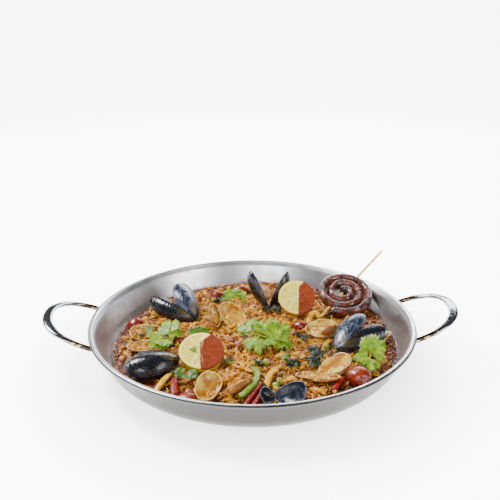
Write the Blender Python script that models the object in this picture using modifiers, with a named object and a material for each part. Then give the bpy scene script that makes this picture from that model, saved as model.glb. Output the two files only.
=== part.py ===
"""A family paella in its two-handled steel pan.

Frame: the origin is under the middle of the pan's base, +X points to one handle,
+Y away from the cook and +Z up. Lengths are metres; places on the food are given
in millimetres through place().
"""

import math

import bmesh
import bpy
from mathutils import Matrix, Vector, noise

# ------------------------------------------------------------------ driving sizes
MM = 0.001
GAP = 0.3 * MM                 # clearance between pieces that touch
MERGE = 0.01 * MM              # vertices closer than this are one
HINGE_RADIUS = 3.2 * MM        # the ligament that joins two valves

PAN_SEGMENTS = 44
RIM_RADIUS = 180 * MM
BEAD_WIDTH = 6 * MM            # the rolled lip
BEAD_HEIGHT = 4 * MM
PAN_HEIGHT = 46.5 * MM
BASE_RADIUS = 132 * MM
CORNER_RADIUS = 36.4 * MM
CORNER_STEPS = 4
WALL_ANGLE = math.radians(66.3)    # slope of the flared wall above the horizontal
STEEL = 1.5 * MM
LIP_Z = PAN_HEIGHT - BEAD_HEIGHT

HANDLE_ROOT = 172 * MM         # where the strap's curve starts, from the pan's axis
HANDLE_REACH = 50.7 * MM       # how far its centre line then runs out
HANDLE_HALF_WIDTH = 48.4 * MM
HANDLE_ROOT_Z = 39.4 * MM
HANDLE_TIP_Z = 58.2 * MM
HANDLE_SQUARENESS = 2.35       # exponent of the loop's super-ellipse
HANDLE_STATIONS = 16
HANDLE_TAIL = 14 * MM          # runs on past the root and is trimmed to the wall
LEG_WIDTH = 4.2 * MM
LEG_HEIGHT = 5.4 * MM
STRAP_WIDTH = 10.5 * MM
STRAP_HEIGHT = 4.0 * MM

RICE_EDGE_Z = 17.0 * MM          # the rice leans: low on one side, high on the other
RICE_EDGE_TILT = 4.0 * MM
RICE_EDGE_FAR = 2.2 * MM
RICE_CENTRE_Z = 24.5 * MM
RICE_LUMP = 2.2 * MM
RICE_LUMP_SIZE = 26 * MM
RICE_RINGS = (30, 64, 96, 123, 144)    # radii of its surface rings, in mm
RICE_MARK = 90 * MM              # height at which the surface is drawn before it drops

LEMON_SIDES = 18

COIL_SAUSAGE = 9.9 * MM       # width of the sausage
COIL_PITCH = 10.7 * MM
COIL_OUTER = 33.8 * MM         # radius at which the spiral starts
COIL_STEPS = 12                # chords on each turn
COIL_CHORDS = 32               # chords in all, two and two thirds turns
COIL_FLATNESS = 1.35           # the sausage stands this much taller than wide
SKEWER_DIAMETER = 2.6 * MM


def place(x, y, z):
    """A point given in millimetres."""
    return Vector((x, y, z)) * MM


# ------------------------------------------------------------------ scene and materials
for old in list(bpy.data.objects):
    bpy.data.objects.remove(old)

paella = bpy.data.collections.new("paella")
cutters = bpy.data.collections.new("paella_cutters")
bpy.context.scene.collection.children.link(paella)
bpy.context.scene.collection.children.link(cutters)


def material(name, colour, roughness, metallic=0.0):
    made = bpy.data.materials.new(name)
    made.use_nodes = True
    shader = made.node_tree.nodes["Principled BSDF"]
    shader.inputs["Base Color"].default_value = (*colour, 1.0)
    shader.inputs["Roughness"].default_value = roughness
    shader.inputs["Metallic"].default_value = metallic
    made.diffuse_color = (*colour, 1.0)
    return made


BRUSHED_STEEL = material("brushed steel", (0.62, 0.61, 0.60), 0.35, 1.0)
POLISHED_STEEL = material("polished steel", (0.70, 0.70, 0.70), 0.15, 1.0)
SAFFRON_RICE = material("saffron rice", (0.62, 0.24, 0.05), 0.45)
MUSSEL_SHELL = material("mussel shell", (0.015, 0.016, 0.022), 0.25)
CLAM_SHELL = material("clam shell", (0.68, 0.44, 0.20), 0.40)
LEMON = material("lemon", (0.80, 0.72, 0.22), 0.40)
SAUSAGE = material("grilled sausage", (0.20, 0.06, 0.03), 0.30)
BAMBOO = material("bamboo", (0.80, 0.70, 0.38), 0.60)
TOMATO = material("tomato", (0.52, 0.07, 0.03), 0.25)
RED_PEPPER = material("red pepper", (0.45, 0.02, 0.02), 0.30)
GREEN_PEPPER = material("green pepper", (0.22, 0.32, 0.04), 0.30)
YELLOW_PEPPER = material("yellow pepper", (0.80, 0.45, 0.06), 0.35)
PEA = material("pea", (0.28, 0.36, 0.08), 0.40)
HAM = material("ham", (0.50, 0.20, 0.14), 0.40)


# ------------------------------------------------------------------ helpers
def add(name, mesh, finish, smooth_angle=40):
    """Make an object of a mesh in the paella's collection."""
    piece = bpy.data.objects.new(name, mesh)
    paella.objects.link(piece)
    mesh.materials.clear()
    mesh.materials.append(finish)
    mesh.shade_smooth()
    mesh.set_sharp_from_angle(angle=math.radians(smooth_angle))
    return piece


def add_cutter(name, mesh):
    cutter = bpy.data.objects.new(name, mesh)
    cutters.objects.link(cutter)
    cutter.hide_render = True
    cutter.display_type = "WIRE"
    return cutter


def mesh_of(bm, name):
    """Turn a bmesh into a mesh with its faces pointing outwards."""
    bmesh.ops.remove_doubles(bm, verts=bm.verts, dist=MERGE)
    bmesh.ops.recalc_face_normals(bm, faces=bm.faces)
    mesh = bpy.data.meshes.new(name)
    bm.to_mesh(mesh)
    bm.free()
    return mesh


def evaluated_mesh(piece):
    """The plain mesh of an object with its modifiers, which is then removed."""
    bpy.context.view_layer.update()
    graph = bpy.context.evaluated_depsgraph_get()
    mesh = bpy.data.meshes.new_from_object(piece.evaluated_get(graph))
    mesh.transform(piece.matrix_world)
    bpy.data.objects.remove(piece)
    return mesh


def boolean(piece, other, operation="DIFFERENCE"):
    cut = piece.modifiers.new(operation.lower(), "BOOLEAN")
    cut.operation = operation
    cut.solver = "EXACT"
    cut.object = other


def lathe(name, profile, segments):
    """Turn (radius, height) points about Z; they run down the outer side."""
    bm = bmesh.new()
    corners = [bm.verts.new((radius, 0, height)) for radius, height in profile]
    for first, second in zip(corners, corners[1:]):
        bm.edges.new((first, second))
    mesh = bpy.data.meshes.new(name)
    bm.to_mesh(mesh)
    bm.free()
    turned = bpy.data.objects.new(name, mesh)
    bpy.context.scene.collection.objects.link(turned)
    screw = turned.modifiers.new("turn", "SCREW")
    screw.steps = segments
    screw.render_steps = segments
    screw.use_merge_vertices = True
    screw.merge_threshold = MERGE
    return evaluated_mesh(turned)


def frame(origin, ahead, out):
    """A matrix at origin whose X runs ahead and whose Z leans towards out."""
    x = ahead.normalized()
    y = out.cross(x).normalized()
    z = x.cross(y)
    turn = Matrix((x, y, z)).transposed().to_4x4()
    return Matrix.Translation(origin) @ turn


def blend(low, high, share):
    return low + (high - low) * share


def smooth_step(share):
    share = min(max(share, 0.0), 1.0)
    return share * share * (3 - 2 * share)


# ------------------------------------------------------------------ pan
def side_profile(inset, top):
    """Points up the pan's side, inset inside its outer face: corner, then wall."""
    reach = CORNER_RADIUS - inset
    points = []
    for step in range(CORNER_STEPS + 1):
        turn = WALL_ANGLE * step / CORNER_STEPS
        points.append((BASE_RADIUS + reach * math.sin(turn), CORNER_RADIUS - reach * math.cos(turn)))
    radius, height = points[-1]
    points.append((radius + (top - height) / math.tan(WALL_ANGLE), top))
    return points


def side_radius(inset, height):
    """Radius of the faceted side at a height."""
    points = side_profile(inset, PAN_HEIGHT)
    for (r0, z0), (r1, z1) in zip(points, points[1:]):
        if height <= z1:
            return blend(r0, r1, (height - z0) / (z1 - z0))
    return points[-1][0]


def bead_profile(grown=0):
    """The rolled lip, from the inside over the top to its underside."""
    middle_r = RIM_RADIUS - BEAD_WIDTH / 2
    middle_z = PAN_HEIGHT - BEAD_HEIGHT / 2
    points = []
    for degrees in (180, 120, 60, 0, -60):
        turn = math.radians(degrees)
        across = (BEAD_WIDTH / 2 + grown) * math.cos(turn)
        points.append((middle_r + across, middle_z + (BEAD_HEIGHT / 2 + grown) * math.sin(turn)))
    return points


def make_pan():
    inside = [(0, STEEL)] + side_profile(STEEL, LIP_Z)
    outside = side_profile(0, LIP_Z - 0.5 * MM)[::-1] + [(0, 0)]
    profile = inside + bead_profile() + outside
    add("pan_body", lathe("pan_body", profile, PAN_SEGMENTS), BRUSHED_STEEL)


def wall_cutter():
    """The pan's outer form with clearance, which fits the handles' legs to wall and lip."""
    side = side_profile(-GAP, LIP_Z - 0.8 * MM)[::-1]
    top = bead_profile(GAP)
    profile = [(0, top[0][1])] + top + side + [(0, side[-1][1])]
    return add_cutter("wall_cutter", lathe("wall_cutter", profile, PAN_SEGMENTS))


# ------------------------------------------------------------------ handles
def handle_station(share):
    """Centre, width and height of the strap; share runs from -1 to 1 along it."""
    turn = share * math.pi / 2
    power = 2 / HANDLE_SQUARENESS
    out = abs(math.cos(turn)) ** power
    across = math.copysign(abs(math.sin(turn)) ** power, turn)
    centre = Vector((
        HANDLE_ROOT + HANDLE_REACH * out,
        HANDLE_HALF_WIDTH * across,
        blend(HANDLE_ROOT_Z, HANDLE_TIP_Z, out),
    ))
    spread = smooth_step(out * 1.25 - 0.2)
    return centre, blend(LEG_WIDTH, STRAP_WIDTH, spread), blend(LEG_HEIGHT, STRAP_HEIGHT, spread)


def handle_ring(bm, centre, along, width, height):
    """An eight-sided section of the strap, square to the way it runs."""
    side = Vector((along.y, -along.x, 0)).normalized()
    up = side.cross(along).normalized()
    ring = []
    for corner in range(8):
        turn = math.radians(45 * corner + 22.5)
        offset = side * (width * 0.54 * math.cos(turn)) + up * (height * 0.54 * math.sin(turn))
        ring.append(bm.verts.new(centre + offset))
    return ring


def loft(bm, rings):
    """Skin a row of rings and cap both ends."""
    for near, far in zip(rings, rings[1:]):
        for index in range(len(near)):
            following = (index + 1) % len(near)
            bm.faces.new((near[index], near[following], far[following], far[index]))
    bm.faces.new(rings[0][::-1])
    bm.faces.new(rings[-1])


def make_handle(name, side, cutter):
    """A forged strap loop: narrow legs at the wall, broad and flat where it is gripped."""
    shares = [-1 + 2 * step / HANDLE_STATIONS for step in range(HANDLE_STATIONS + 1)]
    stations = [handle_station(share) for share in shares]
    inwards = Vector((HANDLE_TAIL, 0, 0))
    stations.insert(0, (stations[0][0] - inwards, LEG_WIDTH, LEG_HEIGHT))
    stations.append((stations[-1][0] - inwards, LEG_WIDTH, LEG_HEIGHT))
    bm = bmesh.new()
    rings = []
    for index, (centre, width, height) in enumerate(stations):
        before = stations[max(index - 1, 0)][0]
        after = stations[min(index + 1, len(stations) - 1)][0]
        rings.append(handle_ring(bm, centre, (after - before).normalized(), width, height))
    loft(bm, rings)
    if side < 0:
        bmesh.ops.rotate(bm, verts=bm.verts, matrix=Matrix.Rotation(math.pi, 3, "Z"))
    handle = add(name, mesh_of(bm, name), POLISHED_STEEL)
    boolean(handle, cutter)


# ------------------------------------------------------------------ rice
def rice_edge(turn):
    """Height at which the rice meets the wall: it leans, and its line is uneven."""
    across = RICE_EDGE_TILT * math.cos(turn)
    away = RICE_EDGE_FAR * math.sin(turn) * (1 + math.sin(turn))
    ripple = noise.noise(Vector((math.cos(turn), math.sin(turn), 0)) * 3.1)
    return RICE_EDGE_Z + across + away + 1.3 * MM * ripple


def rice_height(x, y):
    """Height of the rice at a place in the pan: a low dome with lumps."""
    radius = math.hypot(x, y)
    turn = math.atan2(y, x)
    share = min(radius / (BASE_RADIUS + CORNER_RADIUS), 1.0)
    dome = blend(RICE_CENTRE_Z, rice_edge(turn), share ** 4)
    lump = noise.noise(Vector((x / RICE_LUMP_SIZE, y / RICE_LUMP_SIZE, 0.37)))
    return dome + RICE_LUMP * lump * (1 - share ** 6)


def drape_rice(mesh, lift):
    """Drop the vertices drawn at the mark onto the rice, raised by lift."""
    limit = max(RICE_RINGS) * MM + MERGE
    for vertex in mesh.vertices:
        if vertex.co.z < RICE_MARK - MERGE:
            continue
        radius = math.hypot(vertex.co.x, vertex.co.y)
        turn = math.atan2(vertex.co.y, vertex.co.x)
        if radius > limit:
            height = rice_edge(turn)
            if lift == 0:
                edge = side_radius(STEEL + GAP, height)
                vertex.co.x = edge * math.cos(turn)
                vertex.co.y = edge * math.sin(turn)
        else:
            height = rice_height(vertex.co.x, vertex.co.y)
        vertex.co.z = height + lift
    bm = bmesh.new()
    bm.from_mesh(mesh)
    bmesh.ops.triangulate(bm, faces=bm.faces, quad_method="FIXED")
    bm.to_mesh(mesh)
    bm.free()


def rice_mesh(name, lift):
    """The rice bed, or with a lift the form that trims what lies on it."""
    top = [(0, RICE_MARK)] + [(radius * MM, RICE_MARK) for radius in RICE_RINGS]
    if lift == 0:
        lowest = STEEL + GAP
        side = side_profile(STEEL + GAP, RICE_MARK)[:3][::-1]
        outer = [(side_radius(STEEL + GAP, RICE_EDGE_Z), RICE_MARK)] + side + [(0, lowest)]
    else:
        outer = [(side_radius(STEEL + GAP, RICE_EDGE_Z), RICE_MARK), (RIM_RADIUS, RICE_MARK)]
        outer += [(RIM_RADIUS, -5 * MM), (0, -5 * MM)]
    mesh = lathe(name, top + outer, PAN_SEGMENTS)
    drape_rice(mesh, lift)
    return mesh


# ------------------------------------------------------------------ shellfish
def ball(poles, segments, rings):
    """A unit ball with its poles on the named axis and vertices on its equators."""
    bm = bmesh.new()
    bmesh.ops.create_uvsphere(bm, u_segments=segments, v_segments=rings, radius=1)
    turn = Matrix.Rotation(math.pi / 2, 3, "Y" if poles == "X" else "X")
    bmesh.ops.rotate(bm, verts=bm.verts, matrix=turn)
    return bm


def mussel_point(unit, length, width, depth):
    """Map the unit ball, poles on X, to a mussel from its beak to its round end."""
    share = (unit.x + 1) / 2
    around = math.hypot(unit.y, unit.z)
    if around < 1e-4:
        return Vector((length * share, 0, 0))
    outline = share ** 0.62 * (1 - share) ** 0.42 / 0.509
    crown = share ** 0.6 * (1 - share) ** 0.5 / 0.467
    bend = 0.10 * width * math.sin(math.pi * share)
    return Vector((
        length * share,
        unit.y / around * outline * width / 2 + bend,
        unit.z / around * crown * depth,
    ))


def clam_point(unit, length, width, depth):
    """Map the unit ball, poles on Y, to a clam: X runs from its hinge to its margin."""
    around = math.hypot(unit.x, unit.z)
    skew = 0.12 * (1 - unit.y ** 2)
    if around < 1e-4:
        return Vector((width * 0.46, unit.y * length / 2, 0))
    swell = around ** 0.88
    lean = -0.16 * width * unit.z / around * swell
    return Vector((
        width / 2 + unit.x / around * swell * width / 2 + lean,
        (unit.y + skew) * length / 2,
        unit.z / around * swell * depth,
    ))


def hollow(bm, middle, wall):
    """Cut the lower half away and give the dome an inner face about middle."""
    lower = [vertex for vertex in bm.verts if vertex.co.z < -MERGE]
    bmesh.ops.delete(bm, geom=lower, context="VERTS")
    rim = [edge for edge in bm.edges if edge.is_boundary]
    inner = {vertex: bm.verts.new(middle + (vertex.co - middle) * wall) for vertex in bm.verts[:]}
    for face in bm.faces[:]:
        bm.faces.new([inner[vertex] for vertex in reversed(face.verts)])
    for edge in rim:
        first, second = edge.verts
        bm.faces.new((first, second, inner[second], inner[first]))


def valve(kind, length, width, depth, filled):
    """One shell valve in its own frame, its outside towards +Z."""
    if kind == "mussel":
        bm = ball("X", 12, 7)
        shape = mussel_point
        middle = Vector((length * 0.58, width * 0.09, 0))
    else:
        bm = ball("Y", 8, 7)
        shape = clam_point
        middle = Vector((width * 0.5, 0, 0))
    for vertex in bm.verts:
        rise = depth * filled if filled and vertex.co.z < -MERGE else depth
        vertex.co = shape(vertex.co.copy(), length, width, rise)
    if not filled:
        hollow(bm, middle, 0.88)
    return bm


def open_shell(name, kind, finish, size, valves, trim, hinge=None):
    """One shellfish: its valves, joined at the hinge and trimmed to the rice.

    A valve is its beak, its far margin, the way its outside faces, how full it is
    and, where it differs from its partner, its own size. The hinge lies between the
    two beaks unless it is given.
    """
    pieces = []
    for beak, margin, out, filled, *own in valves:
        beak = place(*beak)
        turn = frame(beak, place(*margin) - beak, Vector(out))
        bm = valve(kind, *[value * MM for value in (own or [size])[0]], filled)
        bmesh.ops.transform(bm, matrix=turn, verts=bm.verts)
        pieces.append(mesh_of(bm, name))
    shell = add(name, pieces[0], finish)
    for other in pieces[1:]:
        boolean(shell, add_cutter(name + "_valve", other), "UNION")
    if len(pieces) > 1:
        bm = bmesh.new()
        bmesh.ops.create_icosphere(bm, subdivisions=1, radius=HINGE_RADIUS)
        between = (Vector(valves[0][0]) + Vector(valves[1][0])) / 2
        bmesh.ops.translate(bm, verts=bm.verts, vec=place(*(hinge or between)))
        boolean(shell, add_cutter(name + "_hinge", mesh_of(bm, name)), "UNION")
    boolean(shell, trim)


MUSSEL = (60, 28, 9)            # length, width and depth of one valve, in mm
CLAM = (38, 27, 8)


def make_mussels(trim):
    open_shell("mussel_closed", "mussel", MUSSEL_SHELL, (59, 31, 12), [
        ((-79, -57, 31), (-138, -79, 30), (-0.1, -0.45, 0.89), 1.0),
    ], trim)
    open_shell("mussel_back_left", "mussel", MUSSEL_SHELL, MUSSEL, [
        ((-64, 41, 26), (-120, 79, 39), (-0.45, -0.25, 0.86), 0, (66, 23, 10)),
        ((-64, 43, 26), (-82, 99, 49), (0.50, -0.50, 0.73), 0, (62, 31, 9)),
    ], trim)
    open_shell("mussel_right", "mussel", MUSSEL_SHELL, MUSSEL, [
        ((89, -42, 27), (150, -12, 35), (0.20, -0.65, 0.73), 0, (68, 24, 10)),
        ((89, -40, 27), (122, 1, 47), (-0.55, -0.25, 0.80), 0, (58, 29, 9)),
    ], trim)
    open_shell("mussel_upright", "mussel", MUSSEL_SHELL, (50, 23, 7.5), [
        ((23, 70, 26), (2, 90, 66), (-0.85, -0.50, -0.10), 0),
        ((25, 73, 26), (48, 87, 66), (0.80, -0.50, -0.30), 0),
    ], trim)
    open_shell("mussel_front", "mussel", MUSSEL_SHELL, MUSSEL, [
        ((14, -127, 26), (42, -141, 39), (0.40, 0.50, -0.75), 0, (36, 27, 8)),
        ((16, -128, 26), (3, -138, 31), (-0.65, 0.40, -0.60), 0, (20, 17, 6)),
    ], trim)


def make_clams(trim):
    open_shell("clam_left", "clam", CLAM_SHELL, (41, 28, 8), [
        ((-117, 24, 31), (-117, -3, 25), (-0.05, 0.25, -0.96), 0.30),
    ], trim)
    open_shell("clam_left_low", "clam", CLAM_SHELL, (46, 27, 8), [
        ((-114, -10, 28), (-115, -36, 30), (0.0, -0.10, -0.99), 0),
    ], trim)
    open_shell("clam_back_left", "clam", CLAM_SHELL, (38, 24, 7), [
        ((-34, 36, 28), (-47, 34, 43), (-0.80, 0.15, -0.58), 0.3, (41, 22, 7)),
        ((-30, 31, 29), (-14, 37, 43), (0.30, 0.72, -0.62), 0),
    ], trim)
    open_shell("clam_right_back", "clam", CLAM_SHELL, CLAM, [
        ((79, -10, 27), (78, 17, 38), (0.0, 0.45, -0.89), 0.3),
        ((90, 2, 26), (94, -1, 37), (0.52, -0.80, -0.25), 0.3, (38, 13, 6)),
    ], trim, (81, -8, 27))
    open_shell("clam_right_front", "clam", CLAM_SHELL, CLAM, [
        ((65, -86, 26), (58, -103, 29), (-0.10, -0.50, -0.85), 0.3, (47, 20, 8)),
        ((82, -94, 30), (79, -70, 35), (0.45, 0.15, -0.90), 0, (36, 26, 8)),
    ], trim, (81, -94, 28))
    open_shell("clam_front", "clam", CLAM_SHELL, CLAM, [
        ((-39, -121, 28), (-60, -114, 37), (-0.45, 0.50, -0.74), 0, (36, 25, 8)),
        ((-24, -109, 26), (-22, -119, 34), (0.45, -0.55, -0.70), 0.4, (38, 14, 7)),
    ], trim, (-38, -123, 27))
    open_shell("clam_small", "clam", CLAM_SHELL, (27, 17, 5), [
        ((15, 105, 28), (28, 114, 31), (0.2, -0.3, 0.93), 0.5),
    ], trim)


# ------------------------------------------------------------------ lemons
def make_lemon(name, face, normal, radius, depth, trim):
    """Half a lemon: a flat cut face on a dome that ends in a blunt nub."""
    profile = [
        (0, 0), (radius - 1 * MM, 0), (radius, -1.2 * MM), (radius * 0.95, -depth * 0.40),
        (radius * 0.76, -depth * 0.72), (radius * 0.42, -depth * 0.93), (0, -depth),
    ]
    mesh = lathe(name, profile, LEMON_SIDES)
    mesh.transform(frame(place(*face), Vector((1, 0, 0)), Vector(normal)))
    boolean(add(name, mesh, LEMON), trim)


# ------------------------------------------------------------------ sausage on a skewer
COIL_CENTRE = place(114, 76, 40.5)
COIL_TILT = math.radians(20)
SKEWER_FOOT = place(78.0, 36.8, 24.3)
SKEWER_TIP = place(177, 151, 67.3)


def tube_mesh(name, points, radius, resolution):
    """A round wire through points, with filled caps, as a closed mesh."""
    curve = bpy.data.curves.new(name, "CURVE")
    curve.dimensions = "3D"
    curve.bevel_depth = radius
    curve.bevel_resolution = resolution
    curve.use_fill_caps = True
    spline = curve.splines.new("POLY")
    spline.points.add(len(points) - 1)
    for corner, point in zip(spline.points, points):
        corner.co = (*point, 1)
    wire = bpy.data.objects.new(name, curve)
    bpy.context.scene.collection.objects.link(wire)
    mesh = evaluated_mesh(wire)
    bm = bmesh.new()
    bm.from_mesh(mesh)
    bpy.data.meshes.remove(mesh)
    return mesh_of(bm, name)


def coil_points():
    """Centre line of the coiled sausage, from its outer end to the middle."""
    start = math.radians(232)
    points = []
    for chord in range(COIL_CHORDS + 1):
        turned = chord / COIL_STEPS
        radius = COIL_OUTER - COIL_PITCH * turned
        turn = start + 2 * math.pi * turned
        points.append((radius * math.cos(turn), radius * math.sin(turn), 0))
    return points


def make_sausage(trim):
    mesh = tube_mesh("sausage_coil", coil_points(), COIL_SAUSAGE / 2, 2)
    flat = Matrix.Diagonal((1, 1, COIL_FLATNESS, 1))
    mesh.transform(Matrix.Translation(COIL_CENTRE) @ Matrix.Rotation(COIL_TILT, 4, "X") @ flat)
    coil = add("sausage_coil", mesh, SAUSAGE)
    along = (SKEWER_TIP - SKEWER_FOOT).normalized()
    ends = [SKEWER_FOOT, SKEWER_TIP]
    skewer = add("skewer", tube_mesh("skewer", ends, SKEWER_DIAMETER / 2, 2), BAMBOO)
    boolean(skewer, trim)
    longer = [SKEWER_FOOT - along * 10 * MM, SKEWER_TIP + along * 10 * MM]
    bore = tube_mesh("skewer_bore", longer, SKEWER_DIAMETER / 2 + 1.3 * GAP, 2)
    boolean(coil, add_cutter("skewer_bore", bore))
    boolean(coil, trim)


# ------------------------------------------------------------------ vegetables
def make_round(name, finish, centre, radii, turn, trim, segments=9, rings=6):
    """A tomato or a pea: a slightly dented ball with its own three radii."""
    bm = bmesh.new()
    bmesh.ops.create_uvsphere(bm, u_segments=segments, v_segments=rings, radius=1)
    for vertex in bm.verts:
        dent = 1 + 0.05 * noise.noise(vertex.co * 1.3 + Vector(centre))
        vertex.co = Vector([part * size * MM * dent for part, size in zip(vertex.co, radii)])
    matrix = Matrix.Translation(place(*centre)) @ Matrix.Rotation(math.radians(turn), 4, "Z")
    bmesh.ops.transform(bm, matrix=matrix, verts=bm.verts)
    boolean(add(name, mesh_of(bm, name), finish, 60), trim)


def make_strip(name, finish, points, width, thickness, trim):
    """A pepper strip: a thick ribbon with rounded edges through points."""
    curve = bpy.data.curves.new(name, "CURVE")
    curve.dimensions = "3D"
    curve.extrude = (width - thickness) / 2 * MM
    curve.bevel_depth = thickness / 2 * MM
    curve.bevel_resolution = 0
    curve.use_fill_caps = True
    curve.twist_mode = "Z_UP"
    spline = curve.splines.new("POLY")
    fine = smooth_path([place(*point) for point in points], 2)
    spline.points.add(len(fine) - 1)
    for corner, point in zip(spline.points, fine):
        corner.co = (*point, 1)
        corner.tilt = math.radians(90)
    ribbon = bpy.data.objects.new(name, curve)
    bpy.context.scene.collection.objects.link(ribbon)
    mesh = evaluated_mesh(ribbon)
    bm = bmesh.new()
    bm.from_mesh(mesh)
    bpy.data.meshes.remove(mesh)
    boolean(add(name, mesh_of(bm, name), finish, 60), trim)


def smooth_path(points, parts):
    """Extra points between the given ones, on a Catmull-Rom curve."""
    ends = [points[0] * 2 - points[1]] + points + [points[-1] * 2 - points[-2]]
    fine = []
    for index in range(1, len(ends) - 2):
        a, b, c, d = ends[index - 1:index + 3]
        for part in range(parts):
            t = part / parts
            fine.append(0.5 * (2 * b + (c - a) * t + (2 * a - 5 * b + 4 * c - d) * t ** 2
                               + (3 * b - a - 3 * c + d) * t ** 3))
    fine.append(points[-1])
    return fine


def make_die(name, centre, size, turn, trim):
    """A cube of ham with eased edges."""
    bm = bmesh.new()
    bmesh.ops.create_cube(bm, size=1)
    sizes = Matrix.Diagonal((*[side * MM for side in size], 1))
    tumble = Matrix.Rotation(math.radians(turn), 4, "Z") @ Matrix.Rotation(math.radians(20), 4, "X")
    bmesh.ops.transform(bm, matrix=Matrix.Translation(place(*centre)) @ tumble @ sizes, verts=bm.verts)
    bmesh.ops.bevel(bm, geom=bm.edges[:], offset=1.2 * MM, segments=1, affect="EDGES")
    boolean(add(name, mesh_of(bm, name), HAM, 30), trim)


def make_vegetables(trim):
    make_round("tomato_right", TOMATO, (102.5, -101, 28.5), (13, 11.5, 10), -10, trim)
    make_round("tomato_front", TOMATO, (-69, -126, 17.5), (14, 11, 12), -15, trim)
    make_round("tomato_left", TOMATO, (-133, 38, 23), (10, 9, 9), 30, trim)
    make_round("tomato_back", TOMATO, (-7, 124, 25), (11, 8, 8), 0, trim)
    make_round("tomato_back_left", TOMATO, (-37, 114, 22), (10, 7, 8), 10, trim)
    make_round("tomato_middle", TOMATO, (57, 20, 25), (10, 7, 7), -10, trim)
    make_round("tomato_mid_left", TOMATO, (-82, -5, 24), (8, 6, 6), 20, trim)

    make_strip("pepper_red_left", RED_PEPPER, [(-83, -88, 25), (-83, -102, 24.5), (-82, -115, 21)], 8, 4, trim)
    make_strip("pepper_green", GREEN_PEPPER, [
        (-3, -73, 26), (0, -90, 30), (-2, -106, 31), (-8, -119, 30), (-20, -130, 26)], 6.5, 4, trim)
    make_strip("pepper_red_front_a", RED_PEPPER, [(3, -105, 28), (-4, -122, 27), (-16, -142, 22)], 5, 4, trim)
    make_strip("pepper_red_front_b", RED_PEPPER, [(5, -118, 27), (-1, -131, 25), (-9, -145, 22)], 5, 4, trim)
    make_strip("pepper_yellow_front", YELLOW_PEPPER, [(21, -80, 27), (13, -97, 32), (7, -114, 26)], 6.5, 3.5, trim)
    make_strip("pepper_yellow_left", YELLOW_PEPPER, [(-88, -79, 25), (-95, -95, 26), (-103, -110, 21)], 6, 3.5, trim)
    make_strip("pepper_red_right", RED_PEPPER, [(87, -99.5, 27), (80.5, -107.5, 25), (74, -116, 22)], 5.5, 4, trim)
    make_strip("pepper_orange_right", YELLOW_PEPPER, [(155, -3, 27), (148, -12, 28), (140, -22, 25)], 7, 4, trim)
    make_strip("squid_back", YELLOW_PEPPER, [(82, 34, 29), (75, 41, 33), (69, 33, 30), (67, 25, 26)], 7, 4, trim)
    make_strip("squid_front", YELLOW_PEPPER, [(28, -98, 24.5), (34, -100, 28), (39, -98, 25)], 9, 4, trim)

    peas = ((79, -30), (17, -109), (22, -100), (-27, -60), (11, -62), (2, -64))
    for index, (x, y) in enumerate(peas):
        height = rice_height(x * MM, y * MM) / MM + 1.8
        make_round(f"pea_{index + 1}", PEA, (x, y, height), (4, 4, 4), 0, trim, 7, 5)
    make_die("ham_die_a", (-26, -11, 26), (8, 7, 6), 20, trim)
    make_die("ham_die_b", (-17, -23, 26), (8, 8, 6), 50, trim)


# ------------------------------------------------------------------ build
make_pan()
fit = wall_cutter()
make_handle("handle_right", 1, fit)
make_handle("handle_left", -1, fit)
add("rice_bed", rice_mesh("rice_bed", 0), SAFFRON_RICE)
rice_trim = add_cutter("rice_trim", rice_mesh("rice_trim", GAP))
make_mussels(rice_trim)
make_clams(rice_trim)
make_lemon("lemon_left", (-56, -64, 43), (-0.30, -0.38, 0.87), 23.5 * MM, 20 * MM, rice_trim)
make_lemon("lemon_back", (56, 56, 46.5), (-0.48, -0.58, 0.66), 21.5 * MM, 22 * MM, rice_trim)
make_sausage(rice_trim)
make_vegetables(rice_trim)
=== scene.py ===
# %% [markdown]
# # A paella in its two-handled steel pan
#
# This lesson dresses a finished construction model: a shallow steel pan, a bed of rice
# and the shellfish, lemons, sausage and vegetables that lie on it. The model gives each
# thing its place and size. What follows gives each thing its fine form and its surface.
#
# Almost every piece here is a row of rings with a skin over them, so one small function
# that skins rings carries most of the work. What lies about in hundreds, such as rice,
# is scattered by Geometry Nodes.

# %% Load the frame
import math
import random

import bmesh
import bpy
from mathutils import Matrix, Vector, noise
from mathutils.bvhtree import BVHTree


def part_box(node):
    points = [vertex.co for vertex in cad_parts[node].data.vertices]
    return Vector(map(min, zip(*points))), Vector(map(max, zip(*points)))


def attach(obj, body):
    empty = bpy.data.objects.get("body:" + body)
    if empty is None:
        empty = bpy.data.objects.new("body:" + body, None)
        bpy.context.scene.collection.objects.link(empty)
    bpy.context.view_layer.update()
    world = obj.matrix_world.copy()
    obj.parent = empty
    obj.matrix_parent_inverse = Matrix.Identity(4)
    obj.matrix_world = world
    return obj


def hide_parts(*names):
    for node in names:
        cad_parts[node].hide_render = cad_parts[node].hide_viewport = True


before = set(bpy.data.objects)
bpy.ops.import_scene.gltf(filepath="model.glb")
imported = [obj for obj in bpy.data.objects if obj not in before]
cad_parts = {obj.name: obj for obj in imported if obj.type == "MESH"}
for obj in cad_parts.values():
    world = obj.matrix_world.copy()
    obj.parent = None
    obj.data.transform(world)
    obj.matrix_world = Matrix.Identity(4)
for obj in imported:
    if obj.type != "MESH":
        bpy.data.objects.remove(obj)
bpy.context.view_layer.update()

MM = 0.001
WHOLE_TURN = 2 * math.pi
chance = random.Random(11)


def place(x, y, z):
    """A point given in millimetres."""
    return Vector((x, y, z)) * MM


def blend(low, high, share):
    return low + (high - low) * share


def smooth_step(low, high, value):
    share = min(max((value - low) / (high - low), 0.0), 1.0)
    return share * share * (3 - 2 * share)


def ripple(point, size, seed=0.0):
    """Soft noise from about -1 to 1, with waves of about size."""
    return noise.noise(Vector(point) / size + Vector((seed, 2.3 * seed, -1.7 * seed)))


def circle(sides):
    """Evenly spaced angles once round."""
    return [WHOLE_TURN * step / sides for step in range(sides)]


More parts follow.
